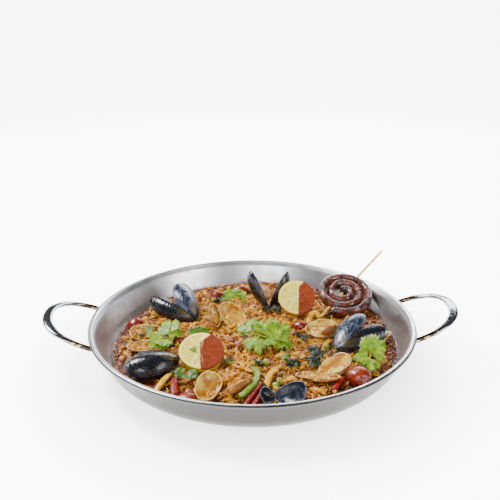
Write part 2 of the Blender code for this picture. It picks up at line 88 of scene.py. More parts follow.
def around(radius, turn, height=0.0):
    """A point at an angle about the upright axis."""
    return Vector((radius * math.cos(turn), radius * math.sin(turn), height))


def eased(value, power):
    """A power that keeps the sign: it squares or pinches a round section."""
    return math.copysign(abs(value) ** power, value)


def moved(matrix, rings):
    return [[matrix @ point for point in ring] for ring in rings]


print("nodes in the frame:", len(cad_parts))

# %% [markdown]
# ## Skins over rings
#
# A lathe, a strap, a tube, a shell and a leaf have one thing in common: rings of points
# that follow each other. Blender has a modifier for some of these forms, but a shell or
# a leaf has none. One function for all of them keeps every mesh closed, gives it a UV
# map (U along the row of rings, V round each ring), and can carry one number per point,
# the mark, for a material to read.

# %% Skin rings and weld them into meshes
WELD = 0.002 * MM


def skin(rings, mark=None):
    """Faces between rings; mark is a function of a ring's number and a point."""
    count = len(rings[0])
    last = len(rings) - 1
    points = [Vector(point) for ring in rings for point in ring]
    faces = []
    corners = []
    for row in range(last):
        low, high = row / last, (row + 1) / last
        for index in range(count):
            following = (index + 1) % count
            near, far = row * count, (row + 1) * count
            faces.append((near + index, near + following, far + following, far + index))
            left, right = index / count, (index + 1) / count
            corners += [(low, left), (low, right), (high, right), (high, left)]
    marks = [mark(row, point) if mark else 0.0 for row, ring in enumerate(rings) for point in ring]
    return points, faces, corners, marks


def weld(name, skins):
    """Join skins into one mesh: seams and poles merged, faces outwards."""
    points, faces, corners, marks = [], [], [], []
    for part_points, part_faces, part_corners, part_marks in skins:
        start = len(points)
        points += part_points
        faces += [[start + index for index in face] for face in part_faces]
        corners += part_corners
        marks += part_marks
    mesh = bpy.data.meshes.new(name)
    mesh.from_pydata(points, [], faces)
    mesh.uv_layers.new(name="UVMap")
    mesh.uv_layers[0].data.foreach_set("uv", [value for corner in corners for value in corner])
    mesh.attributes.new("mark", "FLOAT", "POINT").data.foreach_set("value", marks)
    bm = bmesh.new()
    bm.from_mesh(mesh)
    bmesh.ops.remove_doubles(bm, verts=bm.verts, dist=WELD)
    bmesh.ops.recalc_face_normals(bm, faces=bm.faces)
    bm.to_mesh(mesh)
    bm.free()
    return mesh


def dress(name, mesh, finish, slot, *replaced):
    """Make a finished mesh a piece of the paella, in the place of the solids that it replaces."""
    mesh.name = name
    mesh.materials.clear()
    mesh.materials.append(finish)
    mesh.shade_smooth()
    piece = bpy.data.objects.new(name, mesh)
    bpy.context.scene.collection.objects.link(piece)
    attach(piece, "root")
    if replaced:
        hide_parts(*replaced)
    print(f"{name}: {len(mesh.polygons)} faces")


def build(name, skins, finish, slot, *replaced):
    """Weld skins and dress the mesh."""
    dress(name, weld(name, skins), finish, slot, *replaced)

# %% [markdown]
# ## Colours and nodes
#
# Colours are easiest to choose as sRGB hex values, but shaders mix linear light, so one
# function turns them. A second one adds a node and connects it. The others build what
# every food here needs: a gloss, spots of another shade, several shades laid over each
# other, and a fine relief. The last one puts these together for the plainest foods.

# %% Colour and node helpers
def shade(code):
    """Linear colour of an sRGB hex value such as #d9a441."""
    parts = [int(code[start:start + 2], 16) / 255 for start in (1, 3, 5)]
    return (*[part / 12.92 if part <= 0.04045 else ((part + 0.055) / 1.055) ** 2.4 for part in parts], 1.0)


def add_node(tree, kind, links=None, **settings):
    """Add one node; links gives its inputs a value or a socket, by name or number."""
    made = tree.nodes.new(kind)
    for key, value in settings.items():
        setattr(made, key, value)
    for socket, value in (links or {}).items():
        if isinstance(value, bpy.types.NodeSocket):
            tree.links.new(value, made.inputs[socket])
        else:
            made.inputs[socket].default_value = value
    return made


def gloss(roughness, specular=0.5, coat=0.0, coat_roughness=0.03):
    """Looks of a surface and of the film of oil or water that lies on it."""
    return {"Roughness": roughness, "Specular IOR Level": specular, "Coat Weight": coat,
            "Coat Roughness": coat_roughness}


def start_material(name, looks):
    """A material, its node tree, its Principled shader with some looks, and the place on the object."""
    made = bpy.data.materials.new(name)
    made.use_nodes = True
    tree = made.node_tree
    shader = tree.nodes["Principled BSDF"]
    for socket, value in looks.items():
        shader.inputs[socket].default_value = value
    print("material:", name)
    return made, tree, shader, add_node(tree, "ShaderNodeTexCoord").outputs["Object"]


def spots(tree, where, size, low, high, detail=3.0, stretch=(1, 1, 1)):
    """A mask of noise spots of about size: 0 below the level low, 1 above high."""
    scaled = add_node(tree, "ShaderNodeMapping", {"Vector": where, "Scale": stretch})
    field = add_node(tree, "ShaderNodeTexNoise", {
        "Vector": scaled.outputs[0], "Scale": 1 / size, "Detail": detail})
    return add_node(tree, "ShaderNodeMapRange", {
        "Value": field.outputs["Fac"], "From Min": low, "From Max": high}).outputs["Result"]


def paint(tree, base, *layers):
    """Lay colours, hex values or sockets, over a base, each one through its mask."""
    for mask, colour in layers:
        low, high = [shade(tone) if isinstance(tone, str) else tone for tone in (base, colour)]
        mixed = add_node(tree, "ShaderNodeMix", {0: mask, 6: low, 7: high}, data_type="RGBA")
        base = mixed.outputs[2]
    return base


def surface(tree, shader, height=None, depth=0.0, **looks):
    """Connect a shader's looks, and a relief whose height from 0 to 1 is depth metres."""
    for socket, value in looks.items():
        tree.links.new(value, shader.inputs[socket.replace("_", " ")])
    if height:
        bump = add_node(tree, "ShaderNodeBump", {"Height": height, "Distance": depth})
        tree.links.new(bump.outputs[0], shader.inputs["Normal"])


def food(name, looks, relief, depth, base, *layers):
    """Cooked food: soft lumps, and spots of other shades over a base colour. A layer is a colour
    and its spots; spots, also those of the relief, are size, low, high and sometimes detail."""
    made, tree, shader, where = start_material(name, looks)
    masks = [(spots(tree, where, *spot), colour) for colour, *spot in layers]
    surface(tree, shader, spots(tree, where, *relief), depth, Base_Color=paint(tree, base, *masks))
    return made


print("node helpers ready")

# %% [markdown]
# ## Camera, floor and light
#
# The dish is seen from the cook's side, a little from above, with a fairly long
# lens, so the near rim is only slightly larger than the far one. Polished and brushed
# steel show their surroundings more than their own colour: large soft lights with
# darker gaps between them give the metal its gradients, and a bright floor lights the
# pan's flared side from below.

# %% Camera
camera = bpy.data.objects.new("camera", bpy.data.cameras.new("camera"))
bpy.context.scene.collection.objects.link(camera)
camera.data.lens = 57.6                 # for a sensor 36 mm wide
camera.data.sensor_width = 36
camera.data.clip_start = 0.02
camera.location = place(-44.8, -801.0, 436.3)
camera.rotation_euler = (math.radians(69.01), 0, math.radians(-3.03))
bpy.context.scene.camera = camera

# %% Floor
FLOOR_SIDE = 40.0
FLOOR_GLOW = 8.0
PAINTED_SHADOW_GLOW = 2.4                       # painted shadow: the paper glows less round the pan's foot
PAINTED_SHADOW_CORE = 130 * MM
PAINTED_SHADOW_EDGE = 290 * MM
SKY_GLOW = 0.13
HORIZON = (0.02, 0.14)                  # where the floor's glow gives way to the dimmer sky
FLOOR_GAP = 0.2 * MM                    # keeps the floor just under the pan's base

sweep = bpy.data.meshes.new("floor")
half = FLOOR_SIDE / 2
sweep.from_pydata([(-half, -half, -FLOOR_GAP), (half, -half, -FLOOR_GAP), (half, half, -FLOOR_GAP),
                   (-half, half, -FLOOR_GAP)], [], [(0, 1, 2, 3)])
floor = bpy.data.objects.new("floor", sweep)
bpy.context.scene.collection.objects.link(floor)
# A matt paper sweep that glows by its own light, which hides every real shade; round the pan's foot its glow
# is turned down, a painted shadow.
paper, tree, shader, where = start_material("lit white background", {
    "Base Color": shade("#f6f6f5"), "Roughness": 0.9, "Specular IOR Level": 0.1,
    "Emission Color": shade("#ffffff")})
distance = add_node(tree, "ShaderNodeVectorMath", {0: where}, operation="LENGTH").outputs["Value"]
lit = add_node(tree, "ShaderNodeMapRange", {
    "Value": distance, "From Min": PAINTED_SHADOW_CORE, "From Max": PAINTED_SHADOW_EDGE, "To Min": PAINTED_SHADOW_GLOW,
    "To Max": FLOOR_GLOW}, interpolation_type="SMOOTHSTEP").outputs["Result"]
surface(tree, shader, Emission_Strength=lit)
sweep.materials.append(paper)

# %% Lights
world = bpy.data.worlds.new("studio")
world.use_nodes = True
background = world.node_tree.nodes["Background"].inputs
background["Color"].default_value = shade("#f4f6f8")
direction = add_node(world.node_tree, "ShaderNodeTexCoord").outputs["Generated"]
climb = add_node(world.node_tree, "ShaderNodeSeparateXYZ", {0: direction}).outputs["Z"]
glow = add_node(world.node_tree, "ShaderNodeMapRange", {
    "Value": climb, "From Min": HORIZON[0], "From Max": HORIZON[1], "To Min": FLOOR_GLOW,
    "To Max": SKY_GLOW})
world.node_tree.links.new(glow.outputs["Result"], background["Strength"])
bpy.context.scene.world = world


def softbox(name, at, aim, width, depth, watts):
    """A rectangular studio light that faces aim."""
    lamp = bpy.data.lights.new(name, "AREA")
    lamp.shape = "RECTANGLE"
    lamp.size = width
    lamp.size_y = depth
    lamp.energy = watts
    light = bpy.data.objects.new(name, lamp)
    bpy.context.scene.collection.objects.link(light)
    light.location = at
    light.rotation_euler = (Vector(aim) - Vector(at)).to_track_quat("-Z", "Y").to_euler()


softbox("key", (-0.70, 0.45, 1.10), (0, 0, 0), 0.40, 0.40, 40)
softbox("fill", (0.95, -0.75, 0.62), (0, 0, 0), 0.45, 0.6, 11)
softbox("back", (0.35, 1.25, 0.65), (0, 0, 0), 1.0, 0.35, 14)
softbox("front", (-0.40, -1.35, 0.85), (0, 0, 0.02), 0.8, 0.45, 11)
print("camera, floor and lights are in place")

# %% [markdown]
# ## The pan
#
# A paella pan is pressed from one disc of steel: a flat base, a round corner, a flared
# wall and a lip rolled over a wire. That is a turned form, so its profile goes once
# round the axis, with far more steps than the construction model has. The wall's radius
# and height come from the frame, the rest from the same few sizes that the model uses.

# %% The pan's profile
_, pan_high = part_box("pan_body")
RIM_RADIUS = pan_high.y
PAN_HEIGHT = pan_high.z
BASE_RADIUS = 132 * MM
CORNER_RADIUS = 36.4 * MM
WALL_ANGLE = math.radians(66.3)
STEEL = 1.5 * MM
LIP_WIDTH = 6 * MM
LIP_HEIGHT = 4 * MM
PAN_SIDES = 180
CORNER_STEPS = 14
WALL_STEPS = 5
LIP_STEPS = 14
LIP_START = 180                         # degrees: where the roll leaves the wall, inside
LIP_END = -75                           # and where it ends under the lip
LIP_TUCK = 0.4 * MM                     # the wall ends this far below the roll, inside
LIP_OVERLAP = 0.1 * MM                  # and this far above its underside, outside


def side_profile(inset, top):
    """Points up the pan's side, inset inside its outer face: corner, then wall."""
    reach = CORNER_RADIUS - inset
    points = []
    for step in range(CORNER_STEPS + 1):
        turn = WALL_ANGLE * step / CORNER_STEPS
        points.append((BASE_RADIUS + reach * math.sin(turn), CORNER_RADIUS - reach * math.cos(turn)))
    radius, height = points[-1]
    for step in range(1, WALL_STEPS + 1):
        rise = (top - height) * step / WALL_STEPS
        points.append((radius + rise / math.tan(WALL_ANGLE), height + rise))
    return points


def wall_radius(inset, height):
    """Radius of the pan's side at a height."""
    points = side_profile(inset, PAN_HEIGHT)
    for (r0, z0), (r1, z1) in zip(points, points[1:]):
        if height <= z1:
            return blend(r0, r1, max(height - z0, 0) / (z1 - z0))
    return points[-1][0]


def lip_profile():
    """The lip, rolled outwards over a wire, from its inside to its underside."""
    points = []
    for step in range(LIP_STEPS + 1):
        turn = math.radians(blend(LIP_START, LIP_END, step / LIP_STEPS))
        points.append((RIM_RADIUS - LIP_WIDTH / 2 * (1 - math.cos(turn)),
                       PAN_HEIGHT - LIP_HEIGHT / 2 * (1 - math.sin(turn))))
    return points


inside = [(0, STEEL)] + [(BASE_RADIUS * step / 4, STEEL) for step in (1, 2, 3)]
inside += side_profile(STEEL, PAN_HEIGHT - LIP_HEIGHT / 2 - LIP_TUCK)
outside = side_profile(0, PAN_HEIGHT - LIP_HEIGHT + LIP_OVERLAP)[::-1]
outside += [(BASE_RADIUS * 0.6, 0), (0, 0)]
pan_profile = inside + lip_profile() + outside
print("pan profile:", len(pan_profile), "points, rim", round(RIM_RADIUS / MM, 1), "mm")

# %% [markdown]
# ## How high the rice stands
#
# The rice leans: it is low on one side and high on the other. Later pieces need its
# height anywhere, so a ray is dropped onto the frame's rice. The place where the rice
# ends is found by halving an interval until it is a tenth of a millimetre wide.

# %% Probe the rice
def tree_of(names):
    """A search tree over some of the frame's solids."""
    points, faces = [], []
    for name in names:
        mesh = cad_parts[name].data
        start = len(points)
        points += [vertex.co.copy() for vertex in mesh.vertices]
        faces += [[start + index for index in face.vertices] for face in mesh.polygons]
    return BVHTree.FromPolygons(points, faces)


rice_tree = tree_of(["rice_bed"])
DROP = Vector((0, 0, -1))
ABOVE_ALL = 0.2
SURE_RICE = 0.13                        # a radius at which there is rice in every direction


def rice_top(x, y):
    """Height of the rice at a place, or None beyond its edge."""
    hit = rice_tree.ray_cast(Vector((x, y, ABOVE_ALL)), DROP)[0]
    return hit.z if hit else None


def rice_reach(turn):
    """Radius at which the rice ends in one direction."""
    near, far = SURE_RICE, RIM_RADIUS
    while far - near > 0.1 * MM:
        middle = (near + far) / 2
        if rice_top(middle * math.cos(turn), middle * math.sin(turn)) is None:
            far = middle
        else:
            near = middle
    return near


EDGE_STEPS = 90
EDGE_STEP_IN = 1 * MM                   # its height is read this far inside it
edge_radius = [rice_reach(WHOLE_TURN * step / EDGE_STEPS) for step in range(EDGE_STEPS)]


def rice_edge(turn):
    """Radius and height of the rice's edge, blended between the probed ones."""
    share = turn / WHOLE_TURN * EDGE_STEPS
    step = math.floor(share)
    radius = blend(edge_radius[step % EDGE_STEPS], edge_radius[(step + 1) % EDGE_STEPS], share - step)
    inner = radius - EDGE_STEP_IN
    height = rice_top(inner * math.cos(turn), inner * math.sin(turn))
    return radius, height


def edge_share(point):
    """How far out a point lies: 0 on the axis, 1 at the rice's edge."""
    return math.hypot(point.x, point.y) / rice_edge(math.atan2(point.y, point.x))[0]


print("rice edge from", round(min(edge_radius) / MM, 1), "to", round(max(edge_radius) / MM, 1), "mm")

# %% [markdown]
# ## Brushed steel, and what has burnt onto it
#
# The pan's steel is brushed with a turning belt, which leaves fine scratches round the
# wall. They blur reflections, most of all across the scratches, so the relief and the
# roughness follow a noise that is stretched round the pan in the UV map. Above the rice
# the stock has dried and browned on the wall in fine specks. The mark of each point
# says how strong that stain is: it fades with the height above the rice. The outer face
# and the lip's outer half have a negative mark and are painted a deeper grey, a painted
# shade that dims what they reflect.

# %% Steel
SCRATCHES = (420, 2.5, 1)
STAIN_FADE = 5.8 * MM

pan_steel, tree, shader, where = start_material("brushed stainless steel", {
    "Base Color": shade("#cfccc8"), "Metallic": 1.0, "Roughness": 0.34})
uv = add_node(tree, "ShaderNodeUVMap").outputs[0]
stain = add_node(tree, "ShaderNodeAttribute", attribute_name="mark").outputs["Fac"]
scratches = spots(tree, uv, 1.0, 0.3, 0.7, 2.0, SCRATCHES)
haze = add_node(tree, "ShaderNodeMath", {0: stain, 1: 1.25, 2: -0.60}, operation="MULTIPLY_ADD").outputs[0]
grime = spots(tree, where, 1.6 * MM, 0.30, 0.75, 4.0)
speck = add_node(tree, "ShaderNodeMath", {0: haze, 1: grime}, operation="ADD").outputs[0]
speck = add_node(tree, "ShaderNodeMapRange", {
    "Value": speck, "From Min": 0.32, "From Max": 0.95, "To Max": 0.92}).outputs["Result"]
smear = spots(tree, where, 14 * MM, 0.35, 0.75, 3.0)
# painted shade: the outer face and the lip's outer half are painted a deeper grey, which dims what they
# reflect
outer = add_node(tree, "ShaderNodeMapRange", {
    "Value": stain, "From Min": -0.1, "From Max": -0.9}).outputs["Result"]
colour = paint(tree, "#cdced1", (smear, "#c2c2c5"), (outer, "#4c4b4a"),
               (speck, "#5a3417"))
bare = add_node(tree, "ShaderNodeMath", {0: 1.0, 1: speck}, operation="SUBTRACT").outputs[0]
roughness = add_node(tree, "ShaderNodeMapRange", {
    "Value": smear, "To Min": 0.30, "To Max": 0.42}).outputs["Result"]
surface(tree, shader, scratches, 0.012 * MM, Base_Color=colour, Metallic=bare, Roughness=roughness)

# %% Turn the pan
OUTSIDE = -1.0                          # mark of the lip's outer half and the outer face
BASE_ROWS = 5                           # rows that lie under the rice
STAIN_SIDE = 0.1                        # turns the stain's strongest side, in radians
STAIN_LEAST = 0.15


def stain_strength(row, point):
    """Dried stock on the inner wall, strongest at the rice and at the back left."""
    if row >= len(inside) + LIP_STEPS // 2:
        return OUTSIDE
    if row >= len(inside) or row < BASE_ROWS:
        return 0.0
    turn = math.atan2(point.y, point.x)
    height = rice_edge(turn)[1]
    side = 0.30 + 0.32 * math.sin(turn - STAIN_SIDE) + 0.3 * ripple(point, 30 * MM, 4.0)
    fade = STAIN_FADE * (0.9 + 0.5 * ripple(point, 22 * MM, 7.0))
    return max(side, STAIN_LEAST) * math.exp(-max(point.z - height, 0) / fade)


def turned(profile, sides):
    """Rings of a profile of (radius, height) points about the upright axis."""
    return [[around(radius, turn, height) for turn in circle(sides)] for radius, height in profile]


build("pan", [skin(turned(pan_profile, PAN_SIDES), stain_strength)], pan_steel, "pan_steel", "pan_body")

# %% [markdown]
# ## The handles
#
# Each handle is a forged strap: narrow legs come out of the wall, twist flat and meet
# in a broad grip. Its middle line is half of a super-ellipse that climbs outwards, and
# its section grows from a nearly round leg to a flat band with eased edges. Polished
# steel has few scratches, so it reflects almost like a mirror, and slight unevenness
# from the hammer bends what it reflects.

# %% Handle shape
_, handle_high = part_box("handle_right")
STRAP_WIDTH = 10.5 * MM
STRAP_HEIGHT = 4.0 * MM
LEG_WIDTH = 4.2 * MM
LEG_HEIGHT = 5.4 * MM
HANDLE_ROOT = 172 * MM
HANDLE_REACH = handle_high.x - STRAP_WIDTH / 2 - HANDLE_ROOT
HANDLE_HALF_WIDTH = handle_high.y - LEG_WIDTH / 2
HANDLE_ROOT_Z = 39.4 * MM
HANDLE_TIP_Z = handle_high.z - STRAP_HEIGHT / 2
SQUARENESS = 2.35                       # power of the super-ellipse: 2 would be round
EDGE_POWER = 0.72                       # eases the strap's section: 1 would be an ellipse
STATIONS = 84
SECTION_SIDES = 20


def strap_station(share):
    """Middle, width and height of the strap; share runs from -1 to 1 along it."""
    turn = share * math.pi / 2
    out = eased(math.cos(turn), 2 / SQUARENESS)
    across = eased(math.sin(turn), 2 / SQUARENESS)
    middle = Vector((HANDLE_ROOT + HANDLE_REACH * out, HANDLE_HALF_WIDTH * across,
                     blend(HANDLE_ROOT_Z, HANDLE_TIP_Z, out)))
    spread = smooth_step(0, 1, out * 1.25 - 0.2)
    return middle, blend(LEG_WIDTH, STRAP_WIDTH, spread), blend(LEG_HEIGHT, STRAP_HEIGHT, spread)


def strap_ring(middle, along, width, height):
    """A rounded oblong section of the strap, square to the way it runs."""
    side = Vector((along.y, -along.x, 0)).normalized()
    up = side.cross(along).normalized()
    ring = []
    for turn in circle(SECTION_SIDES):
        across = eased(math.cos(turn), EDGE_POWER) * width / 2
        rise = eased(math.sin(turn), EDGE_POWER) * height / 2
        hammer = 1 + 0.03 * ripple(middle + side * across, 7 * MM)
        ring.append(middle + (side * across + up * rise) * hammer)
    return ring


def seated(point):
    """The point moved along X until it lies inside the steel of the wall."""
    reach = wall_radius(0, point.z) - STEEL / 2
    return Vector((math.sqrt(reach ** 2 - point.y ** 2), point.y, point.z))


def handle_rings(side):
    """The strap from one foot at the wall to the other."""
    stations = [strap_station(-1 + 2 * step / STATIONS) for step in range(STATIONS + 1)]
    stations.insert(0, (seated(stations[0][0]), LEG_WIDTH, LEG_HEIGHT))
    stations.append((seated(stations[-1][0]), LEG_WIDTH, LEG_HEIGHT))
    rings = []
    for index, (middle, width, height) in enumerate(stations):
        along = stations[min(index + 1, len(stations) - 1)][0] - stations[max(index - 1, 0)][0]
        rings.append(strap_ring(middle, along.normalized(), width, height))
    for end in (0, -1):
        rings[end] = [seated(point) for point in rings[end]]
    ends = [[stations[end][0]] * SECTION_SIDES for end in (0, -1)]
    rings = [ends[0]] + rings + [ends[1]]
    return [[Vector((side * point.x, side * point.y, point.z)) for point in ring] for ring in rings]


print("handles reach", round(handle_high.x / MM, 1), "mm from the axis")

# %% Polished steel
# The legs are painted dark brown, with stretched streaks of painted highlight on them.
LEG_START = 188 * MM
LEG_END = 207 * MM

polished_steel, tree, shader, where = start_material("polished stainless steel", {
    "Base Color": shade("#8f9196"), "Metallic": 1.0, "Roughness": 0.14})
dark_leg_mask = add_node(tree, "ShaderNodeAttribute", attribute_name="mark").outputs["Fac"]
hammered = spots(tree, where, 9 * MM, 0.2, 0.8, 2.0)
rubbed = spots(tree, where, 2.5 * MM, 0.2, 0.8, 4.0)
# painted highlight: pale stretched streaks over the dark legs
painted_highlight_streaks = spots(tree, where, 5 * MM, 0.54, 0.66, 3.0, (0.5, 1.6, 1.6))
worn = add_node(tree, "ShaderNodeMapRange", {
    "Value": rubbed, "To Min": 0.10, "To Max": 0.24}).outputs["Result"]
tint = paint(tree, "#2a211b", (painted_highlight_streaks, "#9b8a6c"))
colour = paint(tree, "#8f9196", (dark_leg_mask, tint))
surface(tree, shader, hammered, 0.35 * MM, Base_Color=colour, Roughness=worn)


# 1 on the legs, which are painted dark, falling to 0 on the grip
def leg_darkness(row, point):
    return 1 - smooth_step(LEG_START, LEG_END, abs(point.x))


for side, name in ((1, "handle_right"), (-1, "handle_left")):
    build(name + "_strap", [skin(handle_rings(side), leg_darkness)], polished_steel, "handle_steel", name)

# %% [markdown]
# ## The rice's core
#
# Cooked rice is a heap of thousands of grains, but only the top layer shows. The heap's
# inside is one lumpy core, a little lower than the surface it stands for, and coloured
# like the stock and tomato that run between the grains. Its marks say where grains may
# lie: nowhere under a lemon or a shell, and each kind of grain in its own zone. One more
# mark says where the rice is painted darker close to a topping, a painted shade.

# %% Core of the bed
CORE_SINK = 1.5 * MM
CORE_GAP = 0.3 * MM                     # between the core's edge and the wall
UNDER_GAP = 0.4 * MM                    # between its underside and the steel
UNDER_CORNER = 6 * MM                   # height at which the underside leaves the wall
CORE_RINGS = 66
CORE_SIDES = 230
COVER = 3.5 * MM                        # a topping lower than this over the core keeps grains away
PAINTED_SHADE_REACH = 10 * MM                       # painted shade: the rice is painted darker within this distance of a topping
EDGE_SHARE = 0.980                      # grains lie out to here, as a share of the radius
OPEN_SHARE = 0.93                       # and small things out to here
SIDE_DROP = 6 * MM                      # what lies this far below the surface is the core's side
TOAST_FROM = 0.62                       # browning starts and is complete at these shares
TOAST_TO = 0.93
CORE_LUMPS = ((1.0, 19, 8.0), (3.0, 9, 3.0), (1.4, 4, 5.0))     # height and size in mm, seed

PAN_NODES = {"pan_body", "handle_left", "handle_right", "rice_bed"}
toppings = sorted(set(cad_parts) - PAN_NODES)
cover_tree = tree_of(toppings)


def bed_relief(x, y):
    """Lumps of the rice's surface, finer than the construction model's."""
    return sum(height * ripple((x, y, 0), size * MM, seed) for height, size, seed in CORE_LUMPS) * MM


def bed_rings():
    """The core's top from the middle to the wall, then its underside."""
    turns = circle(CORE_SIDES)
    edges = [wall_radius(STEEL + CORE_GAP, rice_edge(turn)[1] - CORE_SINK) for turn in turns]
    rings = []
    for row in range(CORE_RINGS + 1):
        share = row / CORE_RINGS
        ring = []
        for turn, edge in zip(turns, edges):
            x, y = edge * share * math.cos(turn), edge * share * math.sin(turn)
            ring.append(Vector((x, y, rice_top(x * 0.995, y * 0.995) - CORE_SINK
                                + bed_relief(x, y) * (1 - share ** 10))))
        rings.append(ring)
    low = STEEL + UNDER_GAP
    return rings + turned(((wall_radius(low, UNDER_CORNER), UNDER_CORNER), (BASE_RADIUS, low), (0, low)),
                          CORE_SIDES)


core_mesh = weld("rice_core", [skin(bed_rings())])


def toastiness(point):
    """0 for the soft golden middle to 1 for what has dried and browned at the edge."""
    turn = math.atan2(point.y, point.x)
    side = 0.10 * math.cos(turn) ** 2 + 0.01 * math.cos(turn) - 0.03
    return smooth_step(TOAST_FROM, TOAST_TO, edge_share(point) + side + 0.09 * ripple(point, 26 * MM, 9.0))


def uncovered(point):
    """0 under a topping, on the core's sides and below, else 1."""
    if edge_share(point) > EDGE_SHARE:
        return 0.0
    if point.z < rice_top(point.x * EDGE_SHARE, point.y * EDGE_SHARE) - SIDE_DROP:
        return 0.0
    hit = cover_tree.ray_cast(point + Vector((0, 0, 0.5 * MM)), -DROP, COVER)[0]
    return 0.0 if hit else 1.0


def add_marks(mesh, **zones):
    """Give each vertex one number for every zone, a function of its point."""
    points = [vertex.co.copy() for vertex in mesh.vertices]
    for name, zone in zones.items():
        layer = mesh.attributes.new(name, "FLOAT", "POINT")
        layer.data.foreach_set("value", [zone(point) for point in points])


add_marks(
    core_mesh,
    golden=lambda point: uncovered(point) * (1 - toastiness(point)),
    amber=lambda point: uncovered(point) * (0.45 + 0.55 * math.sin(math.pi * toastiness(point))),
    toasted=lambda point: uncovered(point) * toastiness(point),
    open=lambda point: uncovered(point) if edge_share(point) < OPEN_SHARE else 0.0,
    # painted shade: 1 close to a topping, falling to 0 at the reach
    sheltered=lambda point: 1 - smooth_step(1 * MM, PAINTED_SHADE_REACH, cover_tree.find_nearest(point)[3]),
)
print("core:", len(core_mesh.vertices), "vertices")

# %% Stock between the grains
# Boiled down stock with tomato and oil: wet, so it has a soft sheen, and darker where it has caught.
stock, tree, shader, where = start_material("saffron stock", gloss(0.4, coat=0.35, coat_roughness=0.2))
toast = add_node(tree, "ShaderNodeAttribute", attribute_name="toasted").outputs["Fac"]
lumps = spots(tree, where, 3 * MM, 0.3, 0.75, 3.0)
wide = spots(tree, where, 22 * MM, 0.35, 0.7, 2.0)
colour = paint(tree, "#4c2203", (wide, "#341303"), (lumps, "#6c3407"),
               (toast, "#2c1008"))
surface(tree, shader, lumps, 1.2 * MM, Base_Color=colour)
dress("rice_core", core_mesh.copy(), stock, "rice", "rice_bed")

# %% [markdown]
# ## Scattering
#
# One Geometry Nodes tree scatters everything that lies about. It puts points on a
# surface as densely as a named mark says, lifts each one by a random amount, turns it
# about the surface's normal and tips it a little, and sets a copy of a small shape
# there. Each copy keeps a random tint for its material. The copies are made real mesh at
# the end, because nothing outside Blender knows what an instance is.

# %% The scatter tree
SCATTER_INPUTS = {
    "Geometry": "Geometry", "Shape": "Object", "Mark": "String", "Density": "Float", "Smallest": "Float",
    "Largest": "Float", "Lowest": "Float", "Highest": "Float", "Tip": "Float", "Seed": "Int",
    "Finish": "Material",
}

scatter = bpy.data.node_groups.new("scatter", "GeometryNodeTree")
for name, kind in SCATTER_INPUTS.items():
    scatter.interface.new_socket(name, in_out="INPUT", socket_type="NodeSocket" + kind)
scatter.interface.new_socket("Geometry", in_out="OUTPUT", socket_type="NodeSocketGeometry")
given = add_node(scatter, "NodeGroupInput").outputs
RANDOM = "FunctionNodeRandomValue"

mark = add_node(scatter, "GeometryNodeInputNamedAttribute", {"Name": given["Mark"]}, data_type="FLOAT")
density = add_node(scatter, "ShaderNodeMath", {0: mark.outputs[0], 1: given["Density"]}, operation="MULTIPLY")
points = add_node(scatter, "GeometryNodeDistributePointsOnFaces", {
    "Mesh": given["Geometry"], "Density": density.outputs[0], "Seed": given["Seed"]})
lift = add_node(scatter, RANDOM, {2: given["Lowest"], 3: given["Highest"], "Seed": 1}, data_type="FLOAT")
up = add_node(scatter, "ShaderNodeCombineXYZ", {"Z": lift.outputs[1]})
lifted = add_node(scatter, "GeometryNodeSetPosition", {
    "Geometry": points.outputs[0], "Offset": up.outputs[0]})
back = add_node(scatter, "ShaderNodeMath", {0: given["Tip"], 1: -1.0}, operation="MULTIPLY")
least = add_node(scatter, "ShaderNodeCombineXYZ", {"X": back.outputs[0], "Y": back.outputs[0]})
most = add_node(scatter, "ShaderNodeCombineXYZ", {"X": given["Tip"], "Y": given["Tip"], "Z": WHOLE_TURN})
angles = add_node(scatter, RANDOM, {0: least.outputs[0], 1: most.outputs[0], "Seed": 2},
                  data_type="FLOAT_VECTOR")
spin = add_node(scatter, "FunctionNodeEulerToRotation", {"Euler": angles.outputs[0]})
turn = add_node(scatter, "FunctionNodeRotateRotation", {
    "Rotation": points.outputs["Rotation"], "Rotate By": spin.outputs[0]}, rotation_space="LOCAL")
size = add_node(scatter, RANDOM, {2: given["Smallest"], 3: given["Largest"], "Seed": 3}, data_type="FLOAT")
shape = add_node(scatter, "GeometryNodeObjectInfo", {"Object": given["Shape"]})
copies = add_node(scatter, "GeometryNodeInstanceOnPoints", {
    "Points": lifted.outputs[0], "Instance": shape.outputs["Geometry"], "Rotation": turn.outputs[0],
    "Scale": size.outputs[1]})
tint = add_node(scatter, RANDOM, {2: 0.0, 3: 1.0, "Seed": 4}, data_type="FLOAT")
tinted = add_node(scatter, "GeometryNodeStoreNamedAttribute", {
    "Geometry": copies.outputs[0], "Name": "tint", "Value": tint.outputs[1]},
    data_type="FLOAT", domain="INSTANCE")
real = add_node(scatter, "GeometryNodeRealizeInstances", {"Geometry": tinted.outputs[0]})
dressed = add_node(scatter, "GeometryNodeSetMaterial", {
    "Geometry": real.outputs[0], "Material": given["Finish"]})
add_node(scatter, "NodeGroupOutput", {"Geometry": dressed.outputs[0]})
sockets = {item.name: item.identifier for item in scatter.interface.items_tree if item.in_out == "INPUT"}


def scattered(name, ground, shape_mesh, **inputs):
    """Scatter copies of a mesh over the ground mesh and return them as one mesh."""
    model = bpy.data.objects.new(name + "_shape", shape_mesh)
    holder = bpy.data.objects.new(name + "_ground", ground.copy())
    bpy.context.scene.collection.objects.link(holder)
    modifier = holder.modifiers.new("scatter", "NODES")
    modifier.node_group = scatter
    modifier[sockets["Shape"]] = model
    for key, value in inputs.items():
        modifier[sockets[key]] = value
    graph = bpy.context.evaluated_depsgraph_get()
    mesh = bpy.data.meshes.new_from_object(holder.evaluated_get(graph))
    bpy.data.objects.remove(holder)
    bpy.data.objects.remove(model)
    return mesh


print("scatter tree:", len(scatter.nodes), "nodes")

